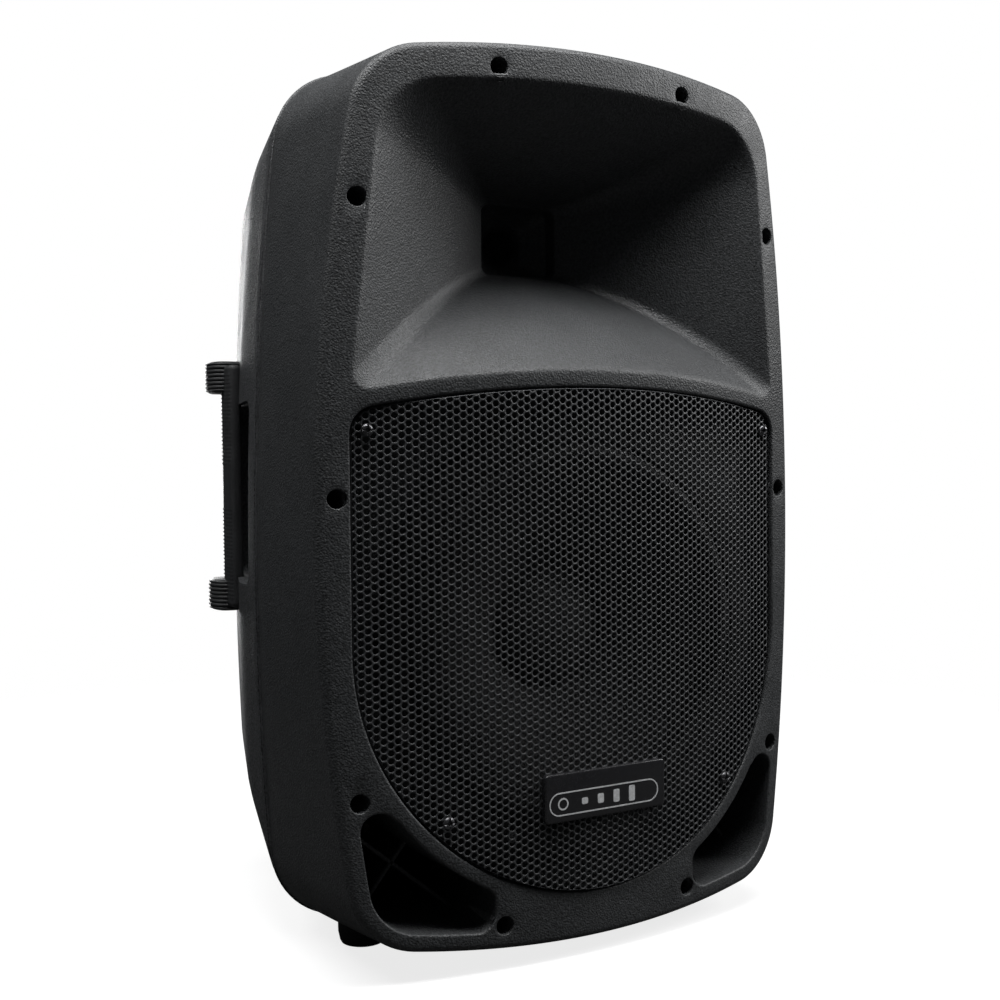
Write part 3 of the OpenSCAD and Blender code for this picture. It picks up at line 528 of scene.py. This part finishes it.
def port_loop():
    """The right-hand corner port: the area between the shell's edge and the grille opening."""
    edge = cabinet_loop(PORT_SIDE, FACE_BOW, PORT_MID, PORT_INSET - HALF_H, HALF_H, 35, 35)
    inner = offset_loop(edge, -PORT_R)
    ring_r = OPENING_R + PORT_RING
    path_r = ring_r + PORT_R
    low_x = PORT_END + PORT_R
    lower = [i for i, (x, z) in enumerate(inner)
             if x > low_x and math.hypot(x, z - WOOFER_Z) > path_r and z < 0]
    first, last = lower[0], lower[-1]
    loop = [edge[i] for i in range(first, last + 1)]
    top = inner[last]
    top_angle = math.atan2(top[1] - WOOFER_Z, top[0])
    low_angle = -math.acos(low_x / path_r)
    low = (low_x, WOOFER_Z + path_r * math.sin(low_angle))

    def end_arc(centre, a0, a1):
        return [(centre[0] + PORT_R * math.cos(a), centre[1] + PORT_R * math.sin(a))
                for a in np.linspace(a0, a1, 14)]

    start = math.atan2(edge[last][1] - top[1], edge[last][0] - top[0])
    loop.extend(end_arc(top, start, top_angle + math.pi)[1:])
    loop.extend((ring_r * math.cos(a), WOOFER_Z + ring_r * math.sin(a))
                for a in np.linspace(top_angle, low_angle, 26)[1:-1])
    loop.extend(end_arc(low, low_angle + math.pi, math.pi))
    turn = math.atan2(edge[first][1] - inner[first][1], edge[first][0] - inner[first][0]) + 2 * math.pi
    loop.extend(end_arc(inner[first], math.pi, turn)[:-1])
    return loop


# ---------------------------------------------------------------- front shell
def edge_rings(loop, radius, steps, outward):
    """Rings that round the edge between the curved face and a wall running back from it."""
    rings = []
    for i in range(steps + 1):
        a = math.pi / 2 * i / steps
        shift = radius * (1 - math.sin(a)) * (1 if outward else -1)
        ring = offset_loop(loop, shift)
        rings.append([(x, face_y(x) + radius * (1 - math.cos(a)), z) for x, z in ring])
    return rings


def flat_ring(loop, y):
    return [(x, y, z) for x, z in loop]


def front_shell():
    build = Build()
    outer = edge_rings(shell_loop(), EDGE_R, 8, outward=False)
    last = [y for x, y, z in outer[-1]]
    for share in (0.2, 0.4, 0.6, 0.8, 1.0):
        loop = shell_loop(share=share)
        outer.append([(x, y0 + (SEAM_FRONT - SEAM_SOFT - y0) * share, z) for (x, z), y0 in zip(loop, last)])
    for a in (30, 60, 90):
        r = math.radians(a)
        outer.append(flat_ring(shell_loop(SEAM_SOFT * (1 - math.cos(r)), 1),
                               SEAM_FRONT - SEAM_SOFT * (1 - math.sin(r))))
    outer.append(flat_ring(shell_loop(2.2, 1), SEAM_FRONT))
    outer.append(flat_ring(shell_loop(2.2, 1), SEAM_FRONT - 4))
    build.loft(outer)

    mouth = horn_loop(1)
    rim = [(3.0, 0.0), (2.0, 0.06), (1.0, 0.26), (0.0, 0.62)]
    horn = [[(x, face_y(x) + depth, z) for x, z in offset_loop(mouth, grow)] for grow, depth in rim]
    steps = 30
    for i in range(1, steps + 1):
        t = 1 - i / steps
        u = 1 - t
        bend = 0.78 * u + 0.22 * u * u
        ring = horn_loop(t)
        horn.append([(x, face_y(m[0]) + 0.62 + (THROAT_Y - face_y(m[0]) - 0.62) * bend, z)
                     for (x, z), m in zip(ring, mouth)])
    throat = horn_loop(0)
    horn.append(flat_ring(offset_loop(throat, -0.5), THROAT_Y + 0.4))
    horn.append(flat_ring(offset_loop(throat, -1.0), THROAT_Y + 1.6))
    horn.append(flat_ring(offset_loop(throat, -1.4), THROAT_Y + 12))
    centre = np.array((0, HORN_Z))
    for share in (0.35, 0.7, 1.0):
        ring = []
        for x, z in throat:
            d = np.array((x, z)) - centre
            to = centre + d / np.linalg.norm(d) * 12.7
            p = np.array((x, z)) * 0.96 * (1 - share) + centre * 0.04 * (1 - share) + to * share
            ring.append((p[0], THROAT_Y + 12 + (FLANGE_Y - THROAT_Y - 12) * share, p[1]))
        horn.append(ring)
    build.loft(horn)

    opening = opening_loop()
    rim_rings = edge_rings(opening, 1.8, 5, outward=True)
    rim_rings.append(flat_ring(opening, PAN_Y))
    build.loft(rim_rings)
    cutout = circle_loop(0, WOOFER_Z, CUTOUT_R, 96)
    build.sheet([opening, cutout], lambda x: PAN_Y, 14)
    build.loft([flat_ring(cutout, PAN_Y), flat_ring(cutout, BOARD_Y)])

    holes = [[(x, z) for x, y, z in horn[0]], [(x, z) for x, y, z in rim_rings[0]]]
    port = port_loop()
    for loop in (port, mirror_x(port)):
        rings = edge_rings(loop, 1.6, 4, outward=True)
        for y in (40, 75, 100, PORT_DEPTH):
            rings.append(flat_ring(offset_loop(loop, -0.02 * (y - 20)), y))
        build.loft(rings)
        holes.append([(x, z) for x, y, z in rings[0]])
    for x, z in SCREW_SPOTS:
        for side in (-1, 1):
            loop = circle_loop(side * x, z, COUNTERBORE_R, 28)
            rings = edge_rings(loop, 0.7, 3, outward=True)
            rings.append(flat_ring(loop, CUP_Y))
            rings.append(flat_ring(circle_loop(side * x, z, 2.6, 28), CUP_Y))
            build.loft(rings)
            holes.append([(px, pz) for px, y, pz in rings[0]])
    build.sheet([[(x, z) for x, y, z in outer[0]]] + holes, face_y, 9)
    obj = build.make("front_shell_moulding", SHELL, sharp=38)
    thick = obj.modifiers.new("wall", "SOLIDIFY")
    thick.thickness = 3.2 * MM
    thick.offset = -1
    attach(obj, "cabinet")
    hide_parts("front_shell")
    return obj


def port_ribs():
    """Two crossed ribs deep inside each corner port."""
    build = Build()
    loop = np.array(port_loop())
    for side in (-1, 1):
        for angle in (40, -50):
            a = math.radians(angle)
            along = np.array((math.cos(a), math.sin(a)))
            across = np.array((-along[1], along[0]))
            offs = (loop - PORT_RIBS) @ across
            near = (loop - PORT_RIBS)[np.abs(offs) < 4] @ along
            lo, hi = near.min() - 2, near.max() + 2
            rings = []
            for y, half_t in ((60, 0.9), (60.7, 1.5), (112, 1.7)):
                corners = [PORT_RIBS + along * lo - across * half_t, PORT_RIBS + along * hi - across * half_t,
                           PORT_RIBS + along * hi + across * half_t, PORT_RIBS + along * lo + across * half_t]
                rings.append([(side * c[0], y, c[1]) for c in corners])
            build.closed(rings)
    obj = build.make("port_ribs", SHELL)
    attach(obj, "cabinet")


# ---------------------------------------------------------------- rear shell
def rear_ring(y, inset=0.0):
    """Outline of the rear half at depth y: a slight draft back to the bend, then narrowing to the back."""
    draft = (y - SEAM_BACK) / (BEND_Y - SEAM_BACK)
    share = 0.0
    if y > BEND_Y - BEND_SOFT:
        past = y - BEND_Y
        if past < BEND_SOFT:
            past = (past + BEND_SOFT) ** 2 / (4 * BEND_SOFT)
        share = past / (DEPTH - BEND_Y)
        draft = (y - past - SEAM_BACK) / (BEND_Y - SEAM_BACK)
    scale_x = 1 - (1 - BACK_SHARE_W) * share
    scale_z = 1 - (1 - BACK_SHARE_H) * share
    half_h = HALF_H + SEAM_RISE
    loop = cabinet_loop(HALF_W - 0.3 - DRAFT * draft, SEAM_BOW, SEAM_BOW_Z, -half_h, half_h,
                        SEAM_CORNER_R + BEND_LOW_R * draft, SEAM_CORNER_R + BEND_HIGH_R * draft,
                        arch_r=SEAM_ARCH_R)
    return offset_loop([(x * scale_x, z * scale_z) for x, z in loop], -inset)


def solid(rings, name, material):
    build = Build()
    build.closed(rings)
    return build.make(name, material)


def rounded_rect(x0, x1, z0, z1, r, n=6):
    corners = [(x1 - r, z0 + r, -90), (x1 - r, z1 - r, 0), (x0 + r, z1 - r, 90), (x0 + r, z0 + r, 180)]
    return [(cx + r * math.cos(math.radians(a + 90 * i / n)), cz + r * math.sin(math.radians(a + 90 * i / n)))
            for cx, cz, a in corners for i in range(n + 1)]


def boolean(target, tool, operation):
    mod = target.modifiers.new("cut", "BOOLEAN")
    mod.operation = operation
    mod.solver = "EXACT"
    mod.object = tool
    bpy.context.view_layer.objects.active = target
    with bpy.context.temp_override(object=target, active_object=target):
        bpy.ops.object.modifier_apply(modifier=mod.name)
    bpy.data.objects.remove(tool)


PAST_SIDE = 30        # how far a cutter runs on past the cabinet's side


def sideways(loop_yz, x0, x1, chamfer, side):
    """Rings of a block that runs along x, its section given as (y, z); it widens by chamfer at x1."""
    rings = []
    for x, grow in ((x0, 0), (x1 - chamfer, 0), (x1, chamfer), (x1 + PAST_SIDE, chamfer)):
        rings.append([(side * x, y, z) for y, z in offset_loop(loop_yz, grow)])
    return rings


HAND_Y0, HAND_Y1, HAND_Z0, HAND_Z1, HAND_X = 167, 262, -60, 70, 142
REAR_WALL = 4.0
PANEL_GAP = 1.5       # between the amplifier panel and its pocket
PANEL_LEDGE = 12


def rear_shell():
    profile = [(SEAM_BACK, 2.2), (SEAM_BACK + 1.0, 2.2), (SEAM_BACK + 1.1, 0.7), (SEAM_BACK + 1.4, 0.2),
               (SEAM_BACK + 2.0, 0)]
    profile += [(y, 0) for y in np.linspace(SEAM_BACK + 8, DEPTH - BACK_SOFT, 22)]
    profile += [(DEPTH - BACK_SOFT * (1 - math.sin(a)), BACK_SOFT * (1 - math.cos(a)))
                for a in np.radians(range(15, 91, 15))]
    rings = [flat_ring(rear_ring(y, inset), y) for y, inset in profile]
    shell = solid(rings, "rear_shell_moulding", REAR_PAINTED_LIGHT)

    inner = [flat_ring(rear_ring(y, REAR_WALL), y) for y in (SEAM_BACK - 3, SEAM_BACK + 60, PANEL_BACK - 6)]
    boolean(shell, solid(inner, "inside", REAR_PAINTED_LIGHT), "DIFFERENCE")

    for side in (-1, 1):
        section = rounded_rect(HAND_Y0 - REAR_WALL, HAND_Y1 + REAR_WALL,
                               HAND_Z0 - REAR_WALL, HAND_Z1 + REAR_WALL, 8)
        block = solid(sideways(section, HAND_X - REAR_WALL, 185, 0, side), "pocket_wall", REAR_PAINTED_LIGHT)
        outer = solid(rings[3:], "clip", REAR_PAINTED_LIGHT)
        boolean(block, outer, "INTERSECT")
        boolean(shell, block, "UNION")
    for side in (-1, 1):
        section = rounded_rect(HAND_Y0, HAND_Y1, HAND_Z0, HAND_Z1, 7)
        boolean(shell, solid(sideways(section, HAND_X, 192, 2.0, side), "pocket", REAR_PAINTED_LIGHT), "DIFFERENCE")

    px, pz = PANEL_HI.x + PANEL_GAP, PANEL_HI.z - MID + PANEL_GAP
    pocket = [(PANEL_BACK, 0), (DEPTH - 2.5, 0.6), (DEPTH - 0.6, 1.6), (DEPTH + 0.6, 3.4), (DEPTH + 5, 3.4)]
    rings = [flat_ring(rounded_rect(-px - g, px + g, -pz - g, pz + g, 6), y) for y, g in pocket]
    boolean(shell, solid(rings, "panel_pocket", REAR_PAINTED_LIGHT), "DIFFERENCE")
    px, pz = px - PANEL_LEDGE, pz - PANEL_LEDGE
    through = rounded_rect(-px, px, -pz, pz, 6)
    rings = [flat_ring(through, y) for y in (PANEL_BACK - 12, PANEL_BACK + 1)]
    boolean(shell, solid(rings, "opening", REAR_PAINTED_LIGHT), "DIFFERENCE")

    cup_lo, cup_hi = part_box("pole_cup")
    cup_y = (cup_lo.y + cup_hi.y) / 2 / MM - FRONT
    upright(shell, 0, cup_y, cup_hi.x / MM + 0.3, -HALF_H - 6, -HALF_H + 5)
    upright(shell, 0, cup_y, 21.4, -HALF_H + 4, -HALF_H + 40)
    lo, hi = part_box("rigging_inserts")
    insert_y = (lo.y + hi.y) / 2 / MM - FRONT
    for side in (-1, 1):
        upright(shell, side * (hi.x / MM - 9), insert_y, 9.3, HALF_H - 40, HALF_H + 6)
    bm = bmesh.new()
    bm.from_mesh(shell.data)
    shade(bm, 32)
    bm.to_mesh(shell.data)
    bm.free()
    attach(shell, "cabinet")
    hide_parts("rear_shell")


def upright(target, x, y, r, z0, z1):
    """Drills an upright hole."""
    build = Build()
    build.closed([[(cx, cy, z) for cx, cy in circle_loop(x, y, r, 48)] for z in (z0, z1)])
    boolean(target, build.make("drill", REAR_PAINTED_LIGHT), "DIFFERENCE")


# ---------------------------------------------------------------- grille
def grille():
    """A curved steel sheet with every hole cut, and a lip turned back round its edge."""
    edge = np.array(opening_loop(1.8))
    nxt = np.roll(edge, -1, axis=0)
    hole_r = 0.405 * PITCH
    corner_r = PITCH / math.sqrt(3)
    column = PITCH * math.sqrt(3) / 2
    centres = []
    columns = int(OPENING_R / column) + 2
    rows = int(HALF_H * 2 / PITCH)
    for i in range(-columns, columns + 1):
        for j in range(-rows // 2, rows // 2):
            centres.append((i * column, WOOFER_Z + (j + 0.5 * (i % 2)) * PITCH))
    centres = np.array(centres)
    loop = [tuple(p) for p in edge]
    grown = offset_loop(loop, 2.0)
    centres = centres[inside_area(centres, [grown], 0)]
    angles = np.radians(np.arange(0, 360, 30))
    outer_r = np.where(np.arange(12) % 2 == 0, corner_r, corner_r * math.cos(math.pi / 6))
    unit = np.stack([np.cos(angles), np.sin(angles)], axis=1)
    rings = [(outer_r[:, None] * unit, 0.0), (hole_r * 1.09 * unit, 0.05), (hole_r * unit, 0.32),
             (hole_r * unit, 1.1), (outer_r[:, None] * unit, 1.2)]
    count = len(centres)
    flat = np.concatenate([centres[:, None, :] + r[None] for r, _ in rings], axis=1)
    depth = np.tile(np.repeat([d for _, d in rings], 12), count)
    flat = flat.reshape(-1, 2)
    outside = ~inside_area(flat, [loop], 0)
    stray = flat[outside]
    best = np.full(len(stray), 1e9)
    moved = stray.copy()
    for a, b in zip(edge, nxt):
        d = b - a
        t = np.clip(((stray - a) @ d) / (d @ d), 0, 1)
        q = a + t[:, None] * d
        dist = np.hypot(*(stray - q).T)
        closer = dist < best
        best[closer] = dist[closer]
        moved[closer] = q[closer]
    flat[outside] = moved
    y = GRILLE_FRONT + GRILLE_R - np.sqrt(GRILLE_R ** 2 - flat[:, 0] ** 2) + depth
    verts = np.stack([flat[:, 0], y + FRONT, flat[:, 1] + MID], axis=1) * MM
    i = np.arange(12)
    j = (i + 1) % 12
    quads = np.concatenate([np.stack([k * 12 + i, k * 12 + j, (k + 1) * 12 + j, (k + 1) * 12 + i], axis=1)
                            for k in range(len(rings) - 1)])
    faces = (np.arange(count)[:, None, None] * 12 * len(rings) + quads[None]).reshape(-1, 4)
    flags = outside.reshape(count, -1).all(axis=1)
    faces = faces[~np.repeat(flags, len(quads))]
    build = Build()
    build.verts = [tuple(v) for v in verts]
    build.faces = [tuple(f) for f in faces.tolist()]
    lip = [[(x, sheet_y(x) + d, z) for x, z in offset_loop(loop, g)]
           for g, d in ((0, 0.02), (0.35, 0.4), (0.35, 9), (-0.8, 9), (-0.8, 1.2))]
    build.loft(lip)
    obj = build.make("grille_sheet", STEEL_BLACK, sharp=60, weld=4e-6)
    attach(obj, "cabinet")
    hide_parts("grille")


# ---------------------------------------------------------------- fasteners, badge, handles
def screw_head(build, x, y, z, r, h, tail, facing=-1):
    """A pan head with a cross recess, its rim on depth y, and a plain shank behind it."""
    rings = []
    n = 48
    cross = r * 0.55
    profile = [(0.02, h * 0.45), (0.30, h * 0.5), (0.42, h * 0.97), (0.62, h * 0.93), (0.85, h * 0.7),
               (0.97, h * 0.35), (1.0, 0.0)]
    for share, height in profile:
        ring = []
        for i in range(n):
            a = 2 * math.pi * i / n
            slot = min(abs(math.sin(a)), abs(math.cos(a))) * share * r
            sink = 0.0
            if share * r < cross * 1.2 and slot < 0.16 * r:
                sink = h * 0.35 if share > 0.1 else 0.0
            ring.append((x + share * r * math.cos(a), y + facing * (height - sink),
                         z + share * r * math.sin(a)))
        rings.append(ring)
    shank = circle_loop(x, z, 0.5 * r, n)
    rings.extend([flat_ring(shank, y), flat_ring(shank, y - facing * tail)])
    build.closed(rings)


def grille_screws():
    build = Build()
    for x, z in GRILLE_SPOTS:
        for side in (-1, 1):
            screw_head(build, side * x, sheet_y(x) - 1.2, z, 4.3, 2.4, 14)
    obj = build.make("grille_fixings", DARK_STEEL, sharp=50)
    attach(obj, "cabinet")
    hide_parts("grille_screws")


def panel_screws():
    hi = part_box("panel_screws")[1] / MM
    r = 3.8
    x = hi.x - r
    z = hi.z - MID - r
    build = Build()
    for sx in (-1, 1):
        for height in (-z, -70, 70, z):
            screw_head(build, sx * x, PANEL_FACE, height, r, 2.3, 12, facing=1)
    obj = build.make("panel_fixings", DARK_STEEL, sharp=50)
    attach(obj, "cabinet")
    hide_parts("panel_screws")


def badge():
    """A plain plate with a pale outline and a plain ring, and no lettering."""
    lo, hi = (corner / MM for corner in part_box("badge"))
    z0, z1 = lo.z - MID, hi.z - MID
    front = lo.y - FRONT
    back = hi.y - FRONT
    build = Build()
    rings = []
    for grow, y in ((-1.2, front), (-0.5, front + 0.15), (-0.1, front + 0.6), (0, front + 1.2),
                    (0, back + 1.6)):
        plan = rounded_rect(lo.x - grow, hi.x + grow, z0 - grow, z1 + grow, 3 + grow * 0.8)
        rings.append(flat_ring(plan, y))
    build.closed(rings)
    plate = build.make("badge_plate", GLOSS, sharp=50)
    line = Build()
    under, over = front + 0.1, front - 0.12
    mid_z = (z0 + z1) / 2 - 4
    for loop, width in ((rounded_rect(lo.x + 3, hi.x - 6, mid_z - 8, mid_z + 8, 8), 0.9),
                        (circle_loop(lo.x + 14, mid_z, 4.2, 48), 1.1)):
        made = line.loft([flat_ring(offset_loop(loop, g), y)
                          for g, y in ((0, under), (0, over), (-width, over), (-width, under))])
        line.bridge(made[-1], made[0])
    for i in range(4):
        x0 = lo.x + 29 + i * 13
        half = 2.2 + 1.1 * i
        bar = rounded_rect(x0, x0 + 5, mid_z - half, mid_z + half, 1.2)
        line.closed([flat_ring(bar, under), flat_ring(bar, over)])
    mark = line.make("badge_mark", WHITE, sharp=40)
    for obj in (plate, mark):
        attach(obj, "cabinet")
    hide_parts("badge")


HANDLE_Z = 8.4
LEG_Z = 83
GRIP_HALF = 92
LEG_PLAN = [(189, 222), (197, 226), (200, 236), (199, 247), (194, 256), (150, 256), (150, 222)]
GRIP_PLAN = [(182.5, 211), (189.5, 211), (191.5, 215), (191.5, 231), (188, 236), (178, 237), (176, 232)]


def round_plan(corners, radius, n=5):
    """A closed outline with every corner rounded."""
    pts = [np.array(c, float) for c in corners]
    loop = []
    for i, c in enumerate(pts):
        before, after = pts[i - 1], pts[(i + 1) % len(pts)]
        a = c + (before - c) / np.linalg.norm(before - c) * min(radius, np.linalg.norm(before - c) * 0.45)
        b = c + (after - c) / np.linalg.norm(after - c) * min(radius, np.linalg.norm(after - c) * 0.45)
        loop.append(tuple(a))
        loop.extend(arc_corner(a, c, b, n))
        loop.append(tuple(b))
    return loop


def even_loop(loop, spacing):
    """The same outline with evenly spaced points."""
    pts = np.array(loop + [loop[0]], float)
    at = np.concatenate([[0], np.cumsum(np.hypot(*np.diff(pts, axis=0).T))])
    n = max(8, int(at[-1] / spacing))
    s = np.linspace(0, at[-1], n, endpoint=False)
    return [(float(np.interp(v, at, pts[:, 0])), float(np.interp(v, at, pts[:, 1]))) for v in s]


def handle(side, name, node):
    build = Build()
    grip = even_loop(round_plan(GRIP_PLAN, 3.5), 1.0)
    half = GRIP_HALF
    rings = []
    z = -half
    while z <= half + 1e-6:
        end = max(0.0, abs(z) - (half - 4))
        inset = 4 - math.sqrt(max(0.0, 16 - end * end)) if end else 0.0
        beads = 0.8 * max(0.0, math.cos(2 * math.pi * z / 2.9)) if abs(z) > 16 else 0.0
        ring = []
        for k, ((x, y), (ox, oy)) in enumerate(zip(offset_loop(grip, -inset), offset_loop(grip, -inset + 1))):
            outer = x > 189 and abs(z) < half - 6
            dot = beads * max(0.0, math.cos(2 * math.pi * k / 4)) if outer else 0.0
            ring.append((side * (x + (ox - x) * dot), y + (oy - y) * dot, z + HANDLE_Z))
        rings.append(ring)
        z += 0.725
    build.closed(rings)
    leg = even_loop(round_plan(LEG_PLAN, 4), 2.5)
    for centre in (-LEG_Z, LEG_Z):
        rings = []
        half_h = 12
        for z in np.arange(-half_h, half_h + 0.01, 0.5):
            end = max(0.0, abs(z) - (half_h - 3))
            inset = 3 - math.sqrt(max(0.0, 9 - end * end)) if end else 0.0
            rib = 1.1 * abs(math.sin(math.pi * (z + half_h) / 3.0)) ** 0.6 if abs(z) < half_h - 1 else 0.0
            rings.append([(side * x, y, z + centre + HANDLE_Z)
                          for x, y in offset_loop(leg, rib - inset - 1.0)])
        build.closed(rings)
    obj = build.make(name, HANDLE, sharp=60)
    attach(obj, "cabinet")
    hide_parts(node)


def rubber_feet():
    build = Build()
    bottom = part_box("rubber_feet")[0].z / MM - MID
    for x, y, top in ((134, 107, -HALF_H + 12), (92, 262, -HALF_H + 10)):
        for side in (-1, 1):
            profile = [(4.6, bottom + 5), (5.0, bottom + 0.6), (6, bottom), (13.5, bottom),
                       (15.5, bottom + 0.7), (16.4, bottom + 2.4), (17.6, bottom + 8), (18, top + 4)]
            build.closed([[(cx, cy, z) for cx, cy in circle_loop(side * x, y, r, 48)] for r, z in profile])
    obj = build.make("feet", RUBBER, sharp=45)
    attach(obj, "cabinet")
    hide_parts("rubber_feet")


front_shell()
port_ribs()
rear_shell()
grille()
grille_screws()
panel_screws()
badge()
handle(-1, "grip_left", "handle_left")
handle(1, "grip_right", "handle_right")
rubber_feet()

# ---------------------------------------------------------------- camera, floor and light
YAW, PITCH_ANGLE, ROLL = (math.radians(a) for a in (29.85, -1.91, -0.54))
forward = Vector((math.sin(YAW) * math.cos(PITCH_ANGLE), math.cos(YAW) * math.cos(PITCH_ANGLE),
                  math.sin(PITCH_ANGLE)))
level = Vector((math.cos(YAW), -math.sin(YAW), 0))
upward = level.cross(forward)
right = level * math.cos(ROLL) + upward * math.sin(ROLL)
up = right.cross(forward)
camera = bpy.data.objects.new("camera", bpy.data.cameras.new("camera"))
bpy.context.scene.collection.objects.link(camera)
camera.data.sensor_width = 36
camera.data.lens = 47.05
camera.data.clip_start = 0.05
camera.matrix_world = Matrix((
    (right.x, up.x, -forward.x, -0.5047),
    (right.y, up.y, -forward.y, FRONT * MM - 0.7406),
    (right.z, up.z, -forward.z, MID * MM + 0.0292),
    (0, 0, 0, 1)))
bpy.context.scene.camera = camera

FLOOR = 3             # half its width, in metres
floor_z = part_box("rubber_feet")[0].z
floor_mesh = bpy.data.meshes.new("floor")
corners = [(-FLOOR, -FLOOR), (FLOOR, -FLOOR), (FLOOR, FLOOR), (-FLOOR, FLOOR)]
floor_mesh.from_pydata([(x, y, floor_z) for x, y in corners], [], [(0, 1, 2, 3)])
floor = bpy.data.objects.new("floor", floor_mesh)
bpy.context.scene.collection.objects.link(floor)


def floor_shader():
    """Pale paper: lit normally close to the cabinet, fading into the background further out."""
    material = bpy.data.materials.new("floor_paper")
    material.use_nodes = True
    nodes = material.node_tree.nodes
    links = material.node_tree.links
    paper = nodes["Principled BSDF"]
    paper.inputs["Base Color"].default_value = (0.35, 0.35, 0.35, 1)
    paper.inputs["Roughness"].default_value = 0.9
    paper.inputs["Specular IOR Level"].default_value = 0.0
    lift = nodes.new("ShaderNodeEmission")
    lift.inputs["Strength"].default_value = 0.80
    path = nodes.new("ShaderNodeLightPath")
    glow = nodes.new("ShaderNodeMixShader")
    dark = nodes.new("ShaderNodeBsdfDiffuse")
    dark.inputs["Color"].default_value = (0.07, 0.07, 0.07, 1)
    both = nodes.new("ShaderNodeAddShader")
    links.new(paper.outputs["BSDF"], both.inputs[0])
    links.new(lift.outputs["Emission"], both.inputs[1])
    links.new(path.outputs["Is Camera Ray"], glow.inputs["Fac"])
    links.new(dark.outputs["BSDF"], glow.inputs[1])
    links.new(both.outputs["Shader"], glow.inputs[2])
    coords = nodes.new("ShaderNodeTexCoord")
    length = nodes.new("ShaderNodeVectorMath")
    length.operation = "LENGTH"
    links.new(coords.outputs["Object"], length.inputs[0])
    fade = nodes.new("ShaderNodeMapRange")
    fade.interpolation_type = "SMOOTHSTEP"
    fade.inputs["From Min"].default_value = 0.35
    fade.inputs["From Max"].default_value = 1.1
    links.new(length.outputs["Value"], fade.inputs["Value"])
    clear = nodes.new("ShaderNodeBsdfTransparent")
    mix = nodes.new("ShaderNodeMixShader")
    links.new(fade.outputs["Result"], mix.inputs["Fac"])
    links.new(glow.outputs["Shader"], mix.inputs[1])
    links.new(clear.outputs["BSDF"], mix.inputs[2])
    links.new(mix.outputs["Shader"], nodes["Material Output"].inputs["Surface"])
    return material


floor.data.materials.append(floor_shader())


def area_light(name, spot, aim, width, height, power):
    light = bpy.data.lights.new(name, "AREA")
    light.shape = "RECTANGLE"
    light.size = width
    light.size_y = height
    light.energy = power
    obj = bpy.data.objects.new(name, light)
    obj.location = spot
    obj.rotation_euler = (Vector(aim) - Vector(spot)).to_track_quat("-Z", "Y").to_euler()
    bpy.context.scene.collection.objects.link(obj)


area_light("top_front", (-0.05, -0.4, 1.15), (0, -0.17, 0.5), 1.0, 0.3, 10.5)
area_light("overhead", (0.0, 0.1, 1.9), (0, 0, 0.3), 1.0, 0.8, 7)
area_light("upper_right", (1.5, -0.75, 1.15), (0.1, -0.15, 0.45), 0.6, 0.9, 18)
area_light("behind", (0.06, 2.1, 0.5), (-0.19, 0, 0.3), 0.4, 1.0, 35)
area_light("upper_left", (-1.0, 0.2, 1.6), (-0.19, -0.1, 0.55), 0.5, 0.5, 7)
world = bpy.data.worlds.new("studio")
bpy.context.scene.world = world
world.use_nodes = True
nodes = world.node_tree.nodes
links = world.node_tree.links
seen = nodes.new("ShaderNodeBackground")
seen.inputs["Color"].default_value = (1, 1, 1, 1)
seen.inputs["Strength"].default_value = 1.0
fill = nodes["Background"]
fill.inputs["Color"].default_value = (0.92, 0.96, 1, 1)
fill.inputs["Strength"].default_value = 0.035
path = nodes.new("ShaderNodeLightPath")
choose = nodes.new("ShaderNodeMixShader")
links.new(path.outputs["Is Camera Ray"], choose.inputs["Fac"])
links.new(fill.outputs["Background"], choose.inputs[1])
links.new(seen.outputs["Background"], choose.inputs[2])
links.new(choose.outputs["Shader"], nodes["World Output"].inputs["Surface"])
bpy.context.scene.view_settings.view_transform = "Standard"

bpy.context.view_layer.update()
